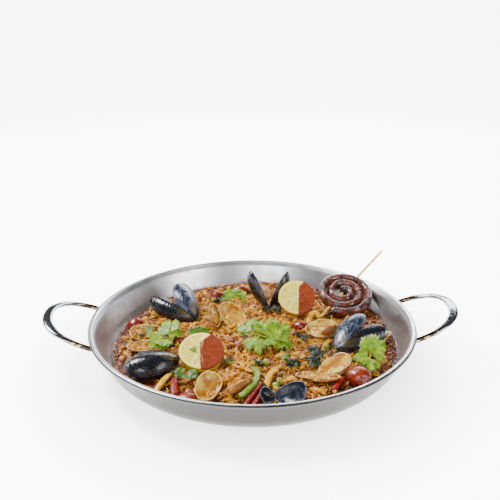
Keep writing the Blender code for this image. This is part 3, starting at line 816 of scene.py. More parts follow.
# %% [markdown]
# ## Grains of rice
#
# Cooked paella rice is a short, fat grain, about 6.5 mm long and 2.4 mm wide, slightly
# bent. It takes its colour from saffron, paprika and the stock: golden in the middle,
# amber further out and brown where it has toasted against the wall. With thousands of
# copies each grain keeps to thirty faces; smooth shading rounds them.

# %% Shape of a grain
GRAIN_LENGTH = 6.1 * MM
GRAIN_WIDTH = 2.5 * MM


def spindle(length, width, thickness, bend, stations, sides):
    """A bent spindle along X; stations gives (share of the length, share of the width)."""
    return [[Vector(((along - 0.5) * length,
                     girth * width / 2 * math.cos(turn) + bend * (4 * (along - 0.5) ** 2),
                     girth * thickness / 2 * math.sin(turn))) for turn in circle(sides)]
            for along, girth in stations]


GRAIN_STATIONS = ((0, 0), (0.14, 0.72), (0.5, 1.0), (0.86, 0.66), (1, 0))
grain = weld("grain", [skin(spindle(GRAIN_LENGTH, GRAIN_WIDTH, GRAIN_WIDTH * 0.86, 0.35 * MM,
                                    GRAIN_STATIONS, 5))])
print("faces in a grain:", len(grain.polygons))

# %% Finish of a grain
def rice_finish(name, pale, middle, deep):
    """Boiled, moist rice in three shades: one for most grains, two for some. Light enters a grain
    a little way, so it glows at its edges, and its wet skin has a soft, wide highlight. Saffron,
    sauce and oil lie over several grains at once, and close to a topping the rice is painted
    darker, a painted shade."""
    made, tree, shader, where = start_material(name, {
        "Roughness": 0.32, "Specular IOR Level": 0.38, "Subsurface Weight": 0.12,
        "Subsurface Radius": (0.004, 0.002, 0.001), "Subsurface Scale": 0.4})
    tint = add_node(tree, "ShaderNodeAttribute", attribute_name="tint").outputs["Fac"]
    light = add_node(tree, "ShaderNodeMapRange", {"Value": tint, "From Min": 0.55, "From Max": 1.0})
    dark = add_node(tree, "ShaderNodeMapRange", {"Value": tint, "From Min": 0.4, "From Max": 0.0})
    sauce = spots(tree, where, 11 * MM, 0.44, 0.62, 4.0)
    saffron = spots(tree, where, 15 * MM, 0.50, 0.64, 3.0)
    pools = spots(tree, where, 34 * MM, 0.49, 0.60, 2.0)
    fine = spots(tree, where, 1.5 * MM, 0.35, 0.75, 2.0)
    shelter = add_node(tree, "ShaderNodeAttribute", attribute_name="sheltered").outputs["Fac"]
    colour = paint(tree, middle, (light.outputs[0], pale), (dark.outputs[0], deep))
    # the last layer is painted shade, darker close to a topping
    for mask, strength, tone in ((saffron, 0.55, pale), (sauce, 0.70, deep), (pools, 0.55, "#5c2409"),
                                 (shelter, 0.60, "#401805")):
        layer = add_node(tree, "ShaderNodeMath", {0: mask, 1: strength}, operation="MULTIPLY")
        colour = paint(tree, colour, (layer.outputs[0], tone))
    surface(tree, shader, fine, 0.15 * MM, Base_Color=colour)
    return made


golden_rice = rice_finish("golden rice", "#ffd64a", "#e09a0c", "#a4580c")
amber_rice = rice_finish("amber rice", "#e09a1c", "#b86410", "#76360a")
toasted_rice = rice_finish("toasted rice", "#a4541c", "#713410", "#3a1608")

# %% Scatter the grains
THINNING = 1.0
GRAINS_LIE = {"Smallest": 0.72, "Largest": 1.08, "Lowest": -0.8 * MM, "Highest": 1.5 * MM, "Tip": 0.5}


def strew(name, ground, shape_mesh, finish, slot, mark, density, seed, **lie):
    """Scatter one kind of thing, as many to the square metre as density says, and dress it."""
    mesh = scattered(name, ground, shape_mesh, Mark=mark, Density=density, Seed=seed, Finish=finish, **lie)
    dress(name, mesh, finish, slot)


for name, finish, mark, density, seed, lie in (
        ("golden_grains", golden_rice, "golden", 140000.0, 21, {}),
        ("amber_grains", amber_rice, "amber", 95000.0, 22, {}),
        ("toasted_grains", toasted_rice, "toasted", 190000.0, 23, {"Smallest": 0.6, "Largest": 1.0})):
    strew(name, core_mesh, grain, finish, "rice", mark, density * THINNING, seed, **{**GRAINS_LIE, **lie})

# %% [markdown]
# ## Shells
#
# A shell grows by adding to its margin, so every growth line is the margin of a smaller
# shell about the same point near the beak. The rings follow those lines: outwards over
# the dome, round the thin rim and back over the inner face. Growth ridges then need only
# the ring's number. A mussel is a long drop with its beak at the tip; a clam is wider
# than long, its hinge on the long side.

# %% Shell forms
VALVE_ROWS = 30
VALVE_SIDES = 64
SHELL_WALL = 1.1 * MM
SHELL_RIDGE = 0.16 * MM


def stand(origin, ahead, out):
    """Matrix that puts X along ahead and Z, as near as it can, along out."""
    x_axis = Vector(ahead).normalized()
    z_axis = Vector(out)
    z_axis = (z_axis - x_axis * z_axis.dot(x_axis)).normalized()
    y_axis = z_axis.cross(x_axis)
    return Matrix.Translation(origin) @ Matrix((x_axis, y_axis, z_axis)).transposed().to_4x4()


def mussel_form(length, width, depth):
    """A mussel's margin by angle, its dome over a plan point, and its umbo."""
    def half_width(share):
        return share ** 0.62 * (1 - share) ** 0.42 / 0.509 * width / 2

    def bend(share):
        return 0.10 * width * math.sin(math.pi * share)

    def margin(turn):
        share = (1 - math.cos(turn)) / 2
        side = 1 if turn < math.pi else -1
        return Vector((length * share, bend(share) + side * half_width(share)))

    def dome(plan):
        share = min(max(plan.x / length, 1e-4), 1 - 1e-4)
        across = (plan.y - bend(share)) / half_width(share)
        crown = share ** 0.6 * (1 - share) ** 0.5 / 0.467
        return Vector((plan.x, plan.y, depth * crown * math.sqrt(max(0.0, 1 - across ** 2))))

    return margin, dome, Vector((0.09 * length, bend(0.09)))


def clam_form(length, width, depth):
    """The same for a clam, whose hinge line runs along Y."""
    skew = 0.12
    lean = 0.16 * width

    def margin(turn):
        high = math.sin(turn)
        swell = math.sqrt(max(0.0, 1 - high ** 2)) ** 0.88
        side = math.copysign(1, -math.cos(turn))
        return Vector((width / 2 + side * swell * width / 2, (high + skew * (1 - high ** 2)) * length / 2))

    def dome(plan):
        level = plan.y * 2 / length
        high = (1 - math.sqrt(max(0.0, 1 - 4 * skew * (level - skew)))) / (2 * skew)
        swell = max(1 - high ** 2, 1e-6) ** 0.44
        across = (plan.x - width / 2) / (swell * width / 2)
        rise = swell * math.sqrt(max(0.0, 1 - across ** 2))
        return Vector((plan.x - lean * rise, plan.y, depth * rise))

    return margin, dome, Vector((0.10 * width, skew * length / 2))


def valve_skin(form, size, matrix, seed, tone=0.0, lining=1.0):
    """One valve: dome, rim and inner face; the mark is tone outside, 2 at the rim, lining inside."""
    margin, dome, umbo = form(*size)
    turns = circle(VALVE_SIDES)
    edge = [margin(turn) for turn in turns]
    middle = Vector((*(sum(edge, Vector((0, 0))) / VALVE_SIDES), 0))
    outer, inner = [], []
    for row in range(VALVE_ROWS + 1):
        grown = math.sin(math.pi / 2 * row / VALVE_ROWS)
        line = (grown * 9, seed, 0)
        ridge = 1 + (ripple(line, 0.22, seed) + ripple(line, 0.7, 2.0)) \
            * SHELL_RIDGE / (size[1] / 2) * smooth_step(0, 0.2, grown)
        ring = []
        for turn, point in zip(turns, edge):
            chip = 1 + 0.012 * ripple(around(1, turn), 0.35, seed) * grown
            ring.append(dome(umbo + (point - umbo) * grown * chip))
        outer.append([middle + (point - middle) * ridge for point in ring])
        inner.append([middle + (point - middle) * (1 - SHELL_WALL / (point - middle).length)
                      for point in ring])
    sink = Vector((0, 0, 0.35 * SHELL_WALL))
    lip = [(out + into) / 2 - sink for out, into in zip(outer[-1], inner[-1])]
    count = len(outer)
    return skin(moved(matrix, outer + [lip] + inner[::-1]),
                lambda row, point: tone if row < count else 2.0 if row == count else lining)


print("each valve:", 2 * VALVE_ROWS + 3, "rings of", VALVE_SIDES, "points")

# %% Shell finishes
# The wavy growth bands follow U, the way along the rings; the colours are the shell's own
# pigment, darkest in the mussel, and a thin clear skin gives the gloss. Only the darker
# bottom of a clam's bowl is painted shade.
def growth_bands(tree, bands, low, high):
    """A mask that changes only from one growth line to the next."""
    where = add_node(tree, "ShaderNodeUVMap").outputs[0]
    along = add_node(tree, "ShaderNodeSeparateXYZ", {0: where}).outputs[0]
    field = add_node(tree, "ShaderNodeTexNoise", {"W": along, "Scale": bands, "Detail": 2.0},
                     noise_dimensions="1D")
    return add_node(tree, "ShaderNodeMapRange", {
        "Value": field.outputs["Fac"], "From Min": low, "From Max": high}).outputs["Result"]


def shell_masks(tree):
    """Masks from the mark: worn outside, inside and rim; and U, the way from the beak."""
    mark = add_node(tree, "ShaderNodeAttribute", attribute_name="mark").outputs["Fac"]
    masks = [add_node(tree, "ShaderNodeMapRange", {
        "Value": mark, "From Min": low, "From Max": high}).outputs["Result"]
        for low, high in ((0.1, 0.45), (0.55, 0.95), (1.1, 1.7))]
    uv = add_node(tree, "ShaderNodeUVMap").outputs[0]
    return masks + [add_node(tree, "ShaderNodeSeparateXYZ", {0: uv}).outputs[0]]


mussel_shell, tree, shader, where = start_material("mussel shell", gloss(0.3, coat=0.15, coat_roughness=0.1))
worn_blue, inner, rim, beak = shell_masks(tree)
bands = growth_bands(tree, 46.0, 0.35, 0.7)
wide_bands = growth_bands(tree, 17.0, 0.42, 0.62)
fine_bands = growth_bands(tree, 130.0, 0.4, 0.6)
worn_beak = add_node(tree, "ShaderNodeMapRange", {
    "Value": beak, "From Min": 0.11, "From Max": 0.01, "To Max": 0.7}).outputs["Result"]
film = spots(tree, where, 9 * MM, 0.55, 0.8)
scuffs = spots(tree, where, 2.2 * MM, 0.35, 0.7, 4.0)
pearl_spots = spots(tree, where, 7 * MM, 0.4, 0.75)
black = paint(tree, "#0b0b0e", (bands, "#181a22"), (film, "#2b1c15"),
              (worn_beak, "#6a5a30"))
blue = paint(tree, "#1d2436", (wide_bands, "#4f5d78"), (fine_bands, "#10141f"),
             (film, "#616c7e"), (worn_beak, "#8f7a44"))
pearl = paint(tree, "#6f7f96", (bands, "#3d4a66"), (pearl_spots, "#a3a9ad"))
colour = paint(tree, black, (worn_blue, blue), (inner, pearl), (rim, "#23262e"))
roughness = add_node(tree, "ShaderNodeMapRange", {
    "Value": scuffs, "To Min": 0.12, "To Max": 0.34}).outputs["Result"]
relief = add_node(tree, "ShaderNodeMath", {0: scuffs, 1: 0.45, 2: bands}, operation="MULTIPLY_ADD").outputs[0]
surface(tree, shader, relief, 0.15 * MM, Base_Color=colour, Roughness=roughness)

clam_shell, tree, shader, where = start_material(
    "clam shell", gloss(0.36, specular=0.38, coat=0.15, coat_roughness=0.2))
_, inner, rim, beak = shell_masks(tree)
bands = growth_bands(tree, 60.0, 0.35, 0.65)
blotches = spots(tree, where, 6 * MM, 0.45, 0.7)
sauce = spots(tree, where, 9 * MM, 0.36, 0.58)
# painted shade: the inside is painted darker towards the bottom of the bowl
deep = add_node(tree, "ShaderNodeMapRange", {
    "Value": beak, "From Min": 0.60, "From Max": 0.95}).outputs["Result"]
outside_colour = paint(tree, "#a8642a", (bands, "#8c4e1c"), (blotches, "#c98f4a"))
cream = paint(tree, "#eccb50", (sauce, "#b4700c"))
inside_colour = paint(tree, cream, (deep, "#a0600c"))
colour = paint(tree, outside_colour, (inner, inside_colour), (rim, "#f6e698"))
outer_part = add_node(tree, "ShaderNodeMath", {0: inner, 1: -1.0, 2: 1.0}, operation="MULTIPLY_ADD")
relief = add_node(tree, "ShaderNodeMath", {0: outer_part.outputs[0], 1: bands}, operation="MULTIPLY")
surface(tree, shader, relief.outputs[0], 0.2 * MM, Base_Color=colour)
print("shell finishes ready")

# %% Mussels
# Beak, far margin, the way the outside faces, and length, width and depth, in mm.
WORN_SHELL = 0.5                        # tone of an outside that is worn to its blue layers
MUSSELS = {
    "mussel_closed": [
        ((-79, -57, 31), (-138, -79, 30), (-0.10, -0.45, 0.89), (59, 31, 12)),
        ((-79, -57, 31), (-138, -79, 30), (0.10, 0.45, -0.89), (59, 31, 12))],
    "mussel_back_left": [
        ((-64, 41, 26), (-120, 79, 39), (-0.45, -0.25, 0.86), (66, 23, 10)),
        ((-64, 43, 26), (-82, 99, 49), (0.50, -0.50, 0.73), (62, 31, 9), WORN_SHELL)],
    "mussel_right": [
        ((89, -42, 27), (150, -12, 35), (0.20, -0.65, 0.73), (68, 24, 10)),
        ((89, -40, 27), (122, 1, 47), (-0.55, -0.25, 0.80), (58, 29, 9), WORN_SHELL)],
    "mussel_upright": [
        ((23, 70, 26), (2, 90, 66), (-0.85, -0.50, -0.10), (50, 23, 7.5)),
        ((25, 73, 26), (48, 87, 66), (0.80, -0.50, -0.30), (50, 23, 7.5))],
    "mussel_front": [
        ((14, -127, 26), (42, -141, 39), (0.40, 0.50, -0.75), (36, 27, 8), 0.0, 0.28),
        ((16, -128, 26), (3, -138, 31), (-0.65, 0.40, -0.60), (20, 17, 6), 0.0, 0.0)],
}


def valve_stand(beak, margin, out):
    """Matrix of a valve: its beak at the origin, X to the far margin, Z outwards."""
    return stand(place(*beak), place(*margin) - place(*beak), out)


def shells(form, table, finish, slot):
    """A piece for each shell of a table, with all its valves."""
    for name, valves in table.items():
        skins = []
        for number, (beak, margin, out, size, *tones) in enumerate(valves):
            size = [value * MM for value in size]
            skins.append(valve_skin(form, size, valve_stand(beak, margin, out), number + len(name), *tones))
        build(name, skins, finish, slot, name)


shells(mussel_form, MUSSELS, mussel_shell, "mussel_shell")

# %% Clams
CLAMS = {
    "clam_left": [((-117, 24, 31), (-117, -3, 25), (-0.05, 0.25, -0.96), (41, 28, 8))],
    "clam_left_low": [((-114, -10, 28), (-115, -36, 30), (0.0, -0.10, -0.99), (46, 27, 8))],
    "clam_back_left": [
        ((-34, 36, 28), (-47, 34, 43), (-0.80, 0.15, -0.58), (41, 22, 7)),
        ((-30, 31, 29), (-14, 37, 43), (0.30, 0.72, -0.62), (38, 24, 7))],
    "clam_right_back": [
        ((79, -10, 27), (78, 17, 38), (0.0, 0.45, -0.89), (38, 27, 8)),
        ((90, 2, 26), (94, -1, 37), (0.52, -0.80, -0.25), (38, 13, 6))],
    "clam_right_front": [
        ((65, -86, 26), (58, -103, 29), (-0.10, -0.50, -0.85), (47, 20, 8)),
        ((82, -94, 30), (79, -70, 35), (0.45, 0.15, -0.90), (36, 26, 8))],
    "clam_front": [
        ((-39, -121, 28), (-60, -114, 37), (-0.45, 0.50, -0.74), (36, 25, 8)),
        ((-24, -109, 26), (-22, -119, 34), (0.45, -0.55, -0.70), (38, 14, 7))],
    "clam_small": [((15, 105, 28), (28, 114, 31), (0.2, -0.3, 0.93), (27, 17, 5))],
}
shells(clam_form, CLAMS, clam_shell, "clam_shell")

# %% [markdown]
# ## Half lemons
#
# A lemon cut across shows eight to ten segments round a pale core: thin membranes, juice
# sacs that run outwards, a ring of white pith and the zest's yellow edge. The face is a
# shallow relief of its own, so the segments stand a little below the membranes. Half of
# each face is dipped in sweet paprika up to a straight edge; its distance from that edge
# is stored on the mesh, and the material breaks it up into grains.

# %% Lemon shape
LEMON_FACE_ROWS = 22
LEMON_SIDES = 108
SEGMENTS = 9
PITH_SHARE = 0.90
LEMON_PROFILE = ((1.0, -0.05), (0.985, -0.22), (0.95, -0.40), (0.87, -0.58), (0.76, -0.74), (0.60, -0.86),
                 (0.42, -0.94), (0.22, -0.985), (0.0, -1.0))

LEMONS = {
    "lemon_left": ((-56, -64, 43), (-0.30, -0.38, 0.87), 23.5, 20, 3.0),
    "lemon_back": ((56, 56, 46.5), (-0.48, -0.58, 0.66), 21.5, 22, 8.0),
}


def from_membrane(turn, seed):
    """Share of a segment's width between an angle and the nearest membrane."""
    inside_segment = (turn / WHOLE_TURN * SEGMENTS + 0.25 * ripple(around(1, turn), 0.8, seed)) % 1
    return min(inside_segment, 1 - inside_segment)


def segment_rise(share, turn, seed):
    """Height of the cut face: membranes stand up, segments lie a little lower."""
    from_wall = from_membrane(turn, seed) * share * 2
    open_flesh = smooth_step(0.02, 0.2, from_wall) * smooth_step(PITH_SHARE, PITH_SHARE - 0.08, share)
    return -0.5 * MM * open_flesh * smooth_step(0.08, 0.2, share)


def lemon_skin(matrix, radius, depth, seed):
    """Face from the core outwards, then the zest down to the nub; the mark is the share of the
    radius, and more than 1 on the zest."""
    turns = circle(LEMON_SIDES)
    rings = []
    for row in range(LEMON_FACE_ROWS + 1):
        share = row / LEMON_FACE_ROWS
        rings.append([around(share * radius, turn, segment_rise(share, turn, seed)) for turn in turns])
    for share, level in LEMON_PROFILE:
        ring = []
        for turn in turns:
            point = around(share, turn, level)
            pit = 1 + 0.010 * ripple(point, 0.09, seed) + 0.02 * ripple(point, 0.5, seed)
            ring.append(Vector((point.x * radius * pit, point.y * radius * pit, level * depth)))
        rings.append(ring)
    return skin(moved(matrix, rings), lambda row, point: min(row / LEMON_FACE_ROWS, 1.2))


print("each lemon:", LEMON_FACE_ROWS + 1 + len(LEMON_PROFILE), "rings of", LEMON_SIDES, "points")

# %% Lemon finish
# Wet juice sacs under a clear film of juice glint; the zest is waxed by its own oil and its
# pores are a fifth of a millimetre deep; dry paprika is dull and swallows both.
lemon, tree, shader, where = start_material("lemon", {
    "Roughness": 0.38, "Specular IOR Level": 0.5, "Subsurface Weight": 0.15,
    "Subsurface Radius": (0.006, 0.005, 0.002), "Subsurface Scale": 0.5, "Coat Weight": 0.25,
    "Coat Roughness": 0.15})
reach = add_node(tree, "ShaderNodeAttribute", attribute_name="mark").outputs["Fac"]
wall = add_node(tree, "ShaderNodeAttribute", attribute_name="membrane").outputs["Fac"]
beyond = add_node(tree, "ShaderNodeAttribute", attribute_name="paprika").outputs["Fac"]
round_uv = add_node(tree, "ShaderNodeSeparateXYZ", {0: add_node(tree, "ShaderNodeUVMap").outputs[0]})
sac_place = add_node(tree, "ShaderNodeCombineXYZ", {
    0: add_node(tree, "ShaderNodeMath", {0: reach, 1: 5.0}, operation="MULTIPLY").outputs[0],
    1: add_node(tree, "ShaderNodeMath", {0: round_uv.outputs[1], 1: 110.0}, operation="MULTIPLY").outputs[0]})
sacs = add_node(tree, "ShaderNodeTexNoise", {"Vector": sac_place.outputs[0], "Scale": 1.0, "Detail": 2.0})
sac_mask = add_node(tree, "ShaderNodeMapRange", {
    "Value": sacs.outputs["Fac"], "From Min": 0.38, "From Max": 0.60}).outputs["Result"]
bruise = spots(tree, where, 5 * MM, 0.55, 0.75)
pith = add_node(tree, "ShaderNodeMapRange", {
    "Value": reach, "From Min": PITH_SHARE - 0.04, "From Max": PITH_SHARE + 0.02}).outputs["Result"]
zest = add_node(tree, "ShaderNodeMapRange", {
    "Value": reach, "From Min": 0.935, "From Max": 0.975}).outputs["Result"]
core = add_node(tree, "ShaderNodeMapRange", {
    "Value": reach, "From Min": 0.14, "From Max": 0.07}).outputs["Result"]
green = spots(tree, where, 24 * MM, 0.45, 0.65, 1.0)
pale = "#f2e79a"
flesh = paint(tree, "#cdb52c", (sac_mask, "#f4e25c"), (bruise, "#c09a3c"), (wall, pale), (core, pale),
              (pith, pale))
rind = paint(tree, "#f2cc00", (green, "#c8b40c"))
fruit = paint(tree, flesh, (zest, rind))
ragged = add_node(tree, "ShaderNodeTexNoise", {"Vector": where, "Scale": 1 / (1.1 * MM), "Detail": 3.0})
edge = add_node(tree, "ShaderNodeMath", {0: ragged.outputs["Fac"], 1: beyond}, operation="ADD")
dusted = add_node(tree, "ShaderNodeMapRange", {
    "Value": edge.outputs[0], "From Min": 0.44, "From Max": 0.56}).outputs["Result"]
grit = spots(tree, where, 0.9 * MM, 0.40, 0.62)
damp = spots(tree, where, 4 * MM, 0.45, 0.7)
powder = paint(tree, "#722208", (grit, "#b85622"), (damp, "#802a0a"),
               (add_node(tree, "ShaderNodeMath", {0: wall, 1: 0.35}, operation="MULTIPLY").outputs[0],
                "#c0683a"))
colour = paint(tree, fruit, (dusted, powder))
dry = add_node(tree, "ShaderNodeMapRange", {"Value": dusted, "To Min": 0.3, "To Max": 0.95}).outputs["Result"]
wet_relief = add_node(tree, "ShaderNodeMath", {0: sac_mask, 1: 0.35}, operation="MULTIPLY").outputs[0]
relief = add_node(tree, "ShaderNodeMath", {0: grit, 1: dusted, 2: wet_relief}, operation="MULTIPLY_ADD")
surface(tree, shader, relief.outputs[0], 0.5 * MM, Base_Color=colour, Roughness=dry)

# %% Lemons
CORNER = (0.65, -0.76, 0.40)            # the paprika leaves out a corner of the face, in shares of the radius
PAPRIKA_LINES = {                       # way across the edge in the lemon's own plane, offset, both as shares
    "lemon_left": ((1.0, 0.0), -0.06),
    "lemon_back": ((0.995, -0.10), 0.10),
}

dusted_faces = []
for name, (face, normal, radius, depth, seed) in LEMONS.items():
    matrix = stand(place(*face), Vector((1, 0, 0)), normal)
    radius *= MM
    mesh = weld(name, [lemon_skin(matrix, radius, depth * MM, seed)])
    (across, along), offset = PAPRIKA_LINES[name]
    to_own = matrix.inverted()

    def past_edge(point, own=to_own, scale=radius, x_part=across, y_part=along, start=offset):
        local = own @ point
        if local.z < -1.5 * MM:
            return -1.0
        to_edge = (local.x * x_part + local.y * y_part) / scale - start
        to_corner = (local.x * CORNER[0] + local.y * CORNER[1]) / scale + CORNER[2]
        return min(to_edge, to_corner) * 4

    def on_membrane(point, own=to_own, scale=radius, own_seed=seed):
        local = own @ point
        share = math.hypot(local.x, local.y) / scale
        turn = math.atan2(local.y, local.x) % WHOLE_TURN
        return 1 - smooth_step(0.02, 0.09, from_membrane(turn, own_seed) * max(share, 0.2) * 2)

    add_marks(mesh, paprika=past_edge, membrane=on_membrane,
              dust=lambda point, distance=past_edge: 1.0 if distance(point) > 0.05 else 0.0)
    dusted_faces.append(mesh.copy())
    dress(name, mesh, lemon, "lemon", name)

# %% [markdown]
# ## The sausage on its skewer
#
# A thin, coarse sausage is rolled into a snail, pinned with a bamboo skewer and grilled.
# The skin is glossy with fat, wrinkled across, and charred black where it touched the
# grill. The tube is taller than wide, because the turns press against each other.

# %% Sausage coil
COIL_CENTRE = place(114, 76, 40.5)
COIL_TILT = math.radians(20)
COIL_SAUSAGE = 9.9 * MM
COIL_PITCH = 10.7 * MM
COIL_OUTER = 33.8 * MM
COIL_START = math.radians(232)
COIL_TURNS = 32 / 12
COIL_FLATNESS = 1.35
COIL_STATIONS = 330
SAUSAGE_SIDES = 28


def coil_rings():
    """Sections of the sausage along its spiral, with rounded ends and a bumpy skin."""
    rings = []
    for station in range(COIL_STATIONS + 1):
        share = station / COIL_STATIONS
        wound = COIL_TURNS * share
        radius = COIL_OUTER - COIL_PITCH * wound
        way = around(1, COIL_START + WHOLE_TURN * wound)
        middle = way * radius
        end = min(share, 1 - share) * 60
        girth = COIL_SAUSAGE / 2 * (math.sqrt(1 - (1 - min(end, 1.0)) ** 2) if end < 1 else 1.0)
        girth *= 1 + 0.05 * ripple((share * 30, 1, 0), 1.0)
        ring = []
        for angle in circle(SAUSAGE_SIDES):
            point = middle + way * (math.cos(angle) * girth) \
                + Vector((0, 0, math.sin(angle) * girth * COIL_FLATNESS))
            bump = 1 + 0.05 * ripple(point, 5 * MM, 4.0) + 0.03 * ripple(point, 2 * MM, 6.0)
            ring.append(middle + (point - middle) * bump)
        rings.append(ring)
    return rings


# The gut is tight and runs with fat, so it mirrors the lights in sharp, broken streaks. The
# spots are meat, then fat, then char from the grill; its wrinkles are 1.6 mm apart.
sausage = food("grilled sausage", gloss(0.20, specular=0.4, coat=0.7, coat_roughness=0.03),
               (1.6 * MM, 0.3, 0.75, 4.0), 1.0 * MM, "#4c1607",
               ("#722c10", 3.5 * MM, 0.35, 0.7), ("#9a5628", 2 * MM, 0.60, 0.75),
               ("#100605", 7 * MM, 0.50, 0.60, 5.0))
coil_stand = Matrix.Translation(COIL_CENTRE) @ Matrix.Rotation(COIL_TILT, 4, "X")
build("sausage_coil", [skin(moved(coil_stand, coil_rings()))], sausage, "sausage", "sausage_coil")

# %% Skewer
SKEWER_FOOT = place(78.0, 36.8, 24.3)
SKEWER_TIP = place(177, 151, 67.3)
SKEWER_DIAMETER = 3.1 * MM
SKEWER_ROWS = 30
SKEWER_SIDES = 18
SKEWER_POINT = 0.06


def skewer_girth(share):
    """Blunt at the hand's end, sharpened over a short cone at the foot."""
    if share in (0.0, 1.0):
        return 0.0
    return SKEWER_DIAMETER / 2 * min(1.0, 0.25 + 0.75 * share / SKEWER_POINT)


def skewer_rings():
    """Round sections from the foot, in the rice, to the hand's end."""
    along = SKEWER_TIP - SKEWER_FOOT
    rings = []
    for row in range(SKEWER_ROWS + 1):
        share = row / SKEWER_ROWS
        girth = skewer_girth(share)
        rings.append([Vector((along.length * share, girth * math.cos(turn), girth * math.sin(turn)))
                      for turn in circle(SKEWER_SIDES)])
    return moved(stand(SKEWER_FOOT, along, (0, 0, 1)), rings)


# Bamboo is split and sanded, never varnished: dull, with long fibres that run the skewer's whole way.
bamboo, tree, shader, _ = start_material("bamboo", gloss(0.55, specular=0.4))
along = add_node(tree, "ShaderNodeSeparateXYZ", {0: add_node(tree, "ShaderNodeUVMap").outputs[0]})
grain_way = add_node(tree, "ShaderNodeCombineXYZ", {0: along.outputs[0], 1: along.outputs[1]})
fibres = spots(tree, grain_way.outputs[0], 0.25, 0.35, 0.7, 3.0, (1.0, 14.0, 1.0))
colour = paint(tree, "#ecd058", (fibres, "#cfae3c"))
surface(tree, shader, fibres, 0.1 * MM, Base_Color=colour)
build("skewer", [skin(skewer_rings())], bamboo, "bamboo", "skewer")

# %% [markdown]
# ## Vegetables and ham
#
# Small tomatoes are balls with a few dents and a tight, glossy skin. Pepper strips and
# squid rings are soft ribbons: a long flat section swept along a curve, with rounded
# edges and ends. Peas wrinkle a little in the pan. Each piece keeps its own shape.

# %% Tomatoes and peas
TOMATOES = {
    "tomato_right": ((102.5, -101, 28.5), (13, 11.5, 10), -10),
    "tomato_front": ((-69, -126, 17.5), (14, 11, 12), -15),
    "tomato_left": ((-133, 38, 23), (10, 9, 9), 30),
    "tomato_back": ((-7, 124, 25), (11, 8, 8), 0),
    "tomato_back_left": ((-37, 114, 22), (10, 7, 8), 10),
    "tomato_middle": ((57, 20, 25), (10, 7, 7), -10),
    "tomato_mid_left": ((-82, -5, 24), (8, 6, 6), 20),
}
PEAS = ((79, -30), (17, -109), (22, -100), (-27, -60), (11, -62), (2, -64))
PEA_RADIUS = 4.0
PEA_LIFT = 1.8                          # of its middle above the rice
DENTS = 0.05


def ball_mesh(name, centre, turn, level, reshape, lean=0):
    """A unit ball whose points a function moves, then turned and put at a centre."""
    bm = bmesh.new()
    bmesh.ops.create_icosphere(bm, subdivisions=level, radius=1)
    for vertex in bm.verts:
        vertex.co = reshape(vertex.co)
    tumble = Matrix.Rotation(math.radians(turn), 4, "Z") @ Matrix.Rotation(math.radians(lean), 4, "X")
    bmesh.ops.transform(bm, matrix=Matrix.Translation(place(*centre)) @ tumble, verts=bm.verts)
    mesh = bpy.data.meshes.new(name)
    bm.to_mesh(mesh)
    bm.free()
    return mesh


def lump_mesh(name, centre, radii, turn, level):
    """A dented ball with three radii."""
    def dented(point):
        dent = 1 + DENTS * ripple(point, 0.8, centre[0]) + 0.3 * DENTS * ripple(point, 0.25, centre[1])
        return Vector([part * size * MM * dent for part, size in zip(point, radii)])

    return ball_mesh(name, centre, turn, level, dented)


# The skin of a tomato is waxy and tight: a small, clear highlight on deep red, with riper
# patches and the pale freckles of the flesh behind it.
tomato = food("tomato", gloss(0.28, specular=0.45, coat=0.25, coat_roughness=0.08),
              (4 * MM, 0.3, 0.8), 0.5 * MM, "#701404",
              ("#8a2c08", 12 * MM, 0.4, 0.7), ("#a04c18", 1.5 * MM, 0.6, 0.75))
for name, (centre, radii, turn) in TOMATOES.items():
    dress(name, lump_mesh(name, centre, radii, turn, 4), tomato, "tomato", name)

# A boiled pea is wet and slightly shrunken, so its highlight breaks up over the creases.
pea = food("pea", gloss(0.3, coat=0.3, coat_roughness=0.2),
           (2.5 * MM, 0.35, 0.7), 0.5 * MM, "#6b7a12", ("#98a024", 2.5 * MM, 0.35, 0.7))
for number, (x, y) in enumerate(PEAS):
    name = f"pea_{number + 1}"
    middle = (x, y, rice_top(x * MM, y * MM) / MM + PEA_LIFT)
    dress(name, lump_mesh(name, middle, (PEA_RADIUS,) * 3, 0, 3), pea, "green_food", name)

# %% Strips
STRIPS = {
    "pepper_red_left": ([(-83, -88, 25), (-83, -102, 24.5), (-82, -115, 21)], 8, 4),
    "pepper_green": ([(-3, -73, 26), (0, -90, 30), (-2, -106, 31), (-8, -119, 30), (-20, -130, 26)], 6.5, 4),
    "pepper_red_front_a": ([(3, -105, 28), (-4, -122, 27), (-16, -142, 22)], 5, 4),
    "pepper_red_front_b": ([(5, -118, 27), (-1, -131, 25), (-9, -145, 22)], 5, 4),
    "pepper_yellow_front": ([(21, -80, 27), (13, -97, 32), (7, -114, 26)], 6.5, 3.5),
    "pepper_yellow_left": ([(-88, -79, 25), (-95, -95, 26), (-103, -110, 21)], 6, 3.5),
    "pepper_red_right": ([(87, -99.5, 27), (80.5, -107.5, 25), (74, -116, 22)], 5.5, 4),
    "pepper_orange_right": ([(155, -3, 27), (148, -12, 28), (140, -22, 25)], 7, 4),
    "squid_back": ([(82, 34, 29), (75, 41, 33), (69, 33, 30), (67, 25, 26)], 7, 4),
    "squid_front": ([(28, -98, 24.5), (34, -100, 28), (39, -98, 25)], 9, 4),
}
STRIP_PARTS = 16
STRIP_SIDES = 20


def smooth_path(points, parts):
    """Extra points between the given ones, on a Catmull-Rom curve."""
    ends = [points[0] * 2 - points[1]] + points + [points[-1] * 2 - points[-2]]
    fine = []
    for index in range(1, len(ends) - 2):
        a, b, c, d = ends[index - 1:index + 3]
        for part in range(parts):
            t = part / parts
            fine.append(0.5 * (2 * b + (c - a) * t + (2 * a - 5 * b + 4 * c - d) * t ** 2
                               + (3 * b - a - 3 * c + d) * t ** 3))
    fine.append(points[-1])
    return fine


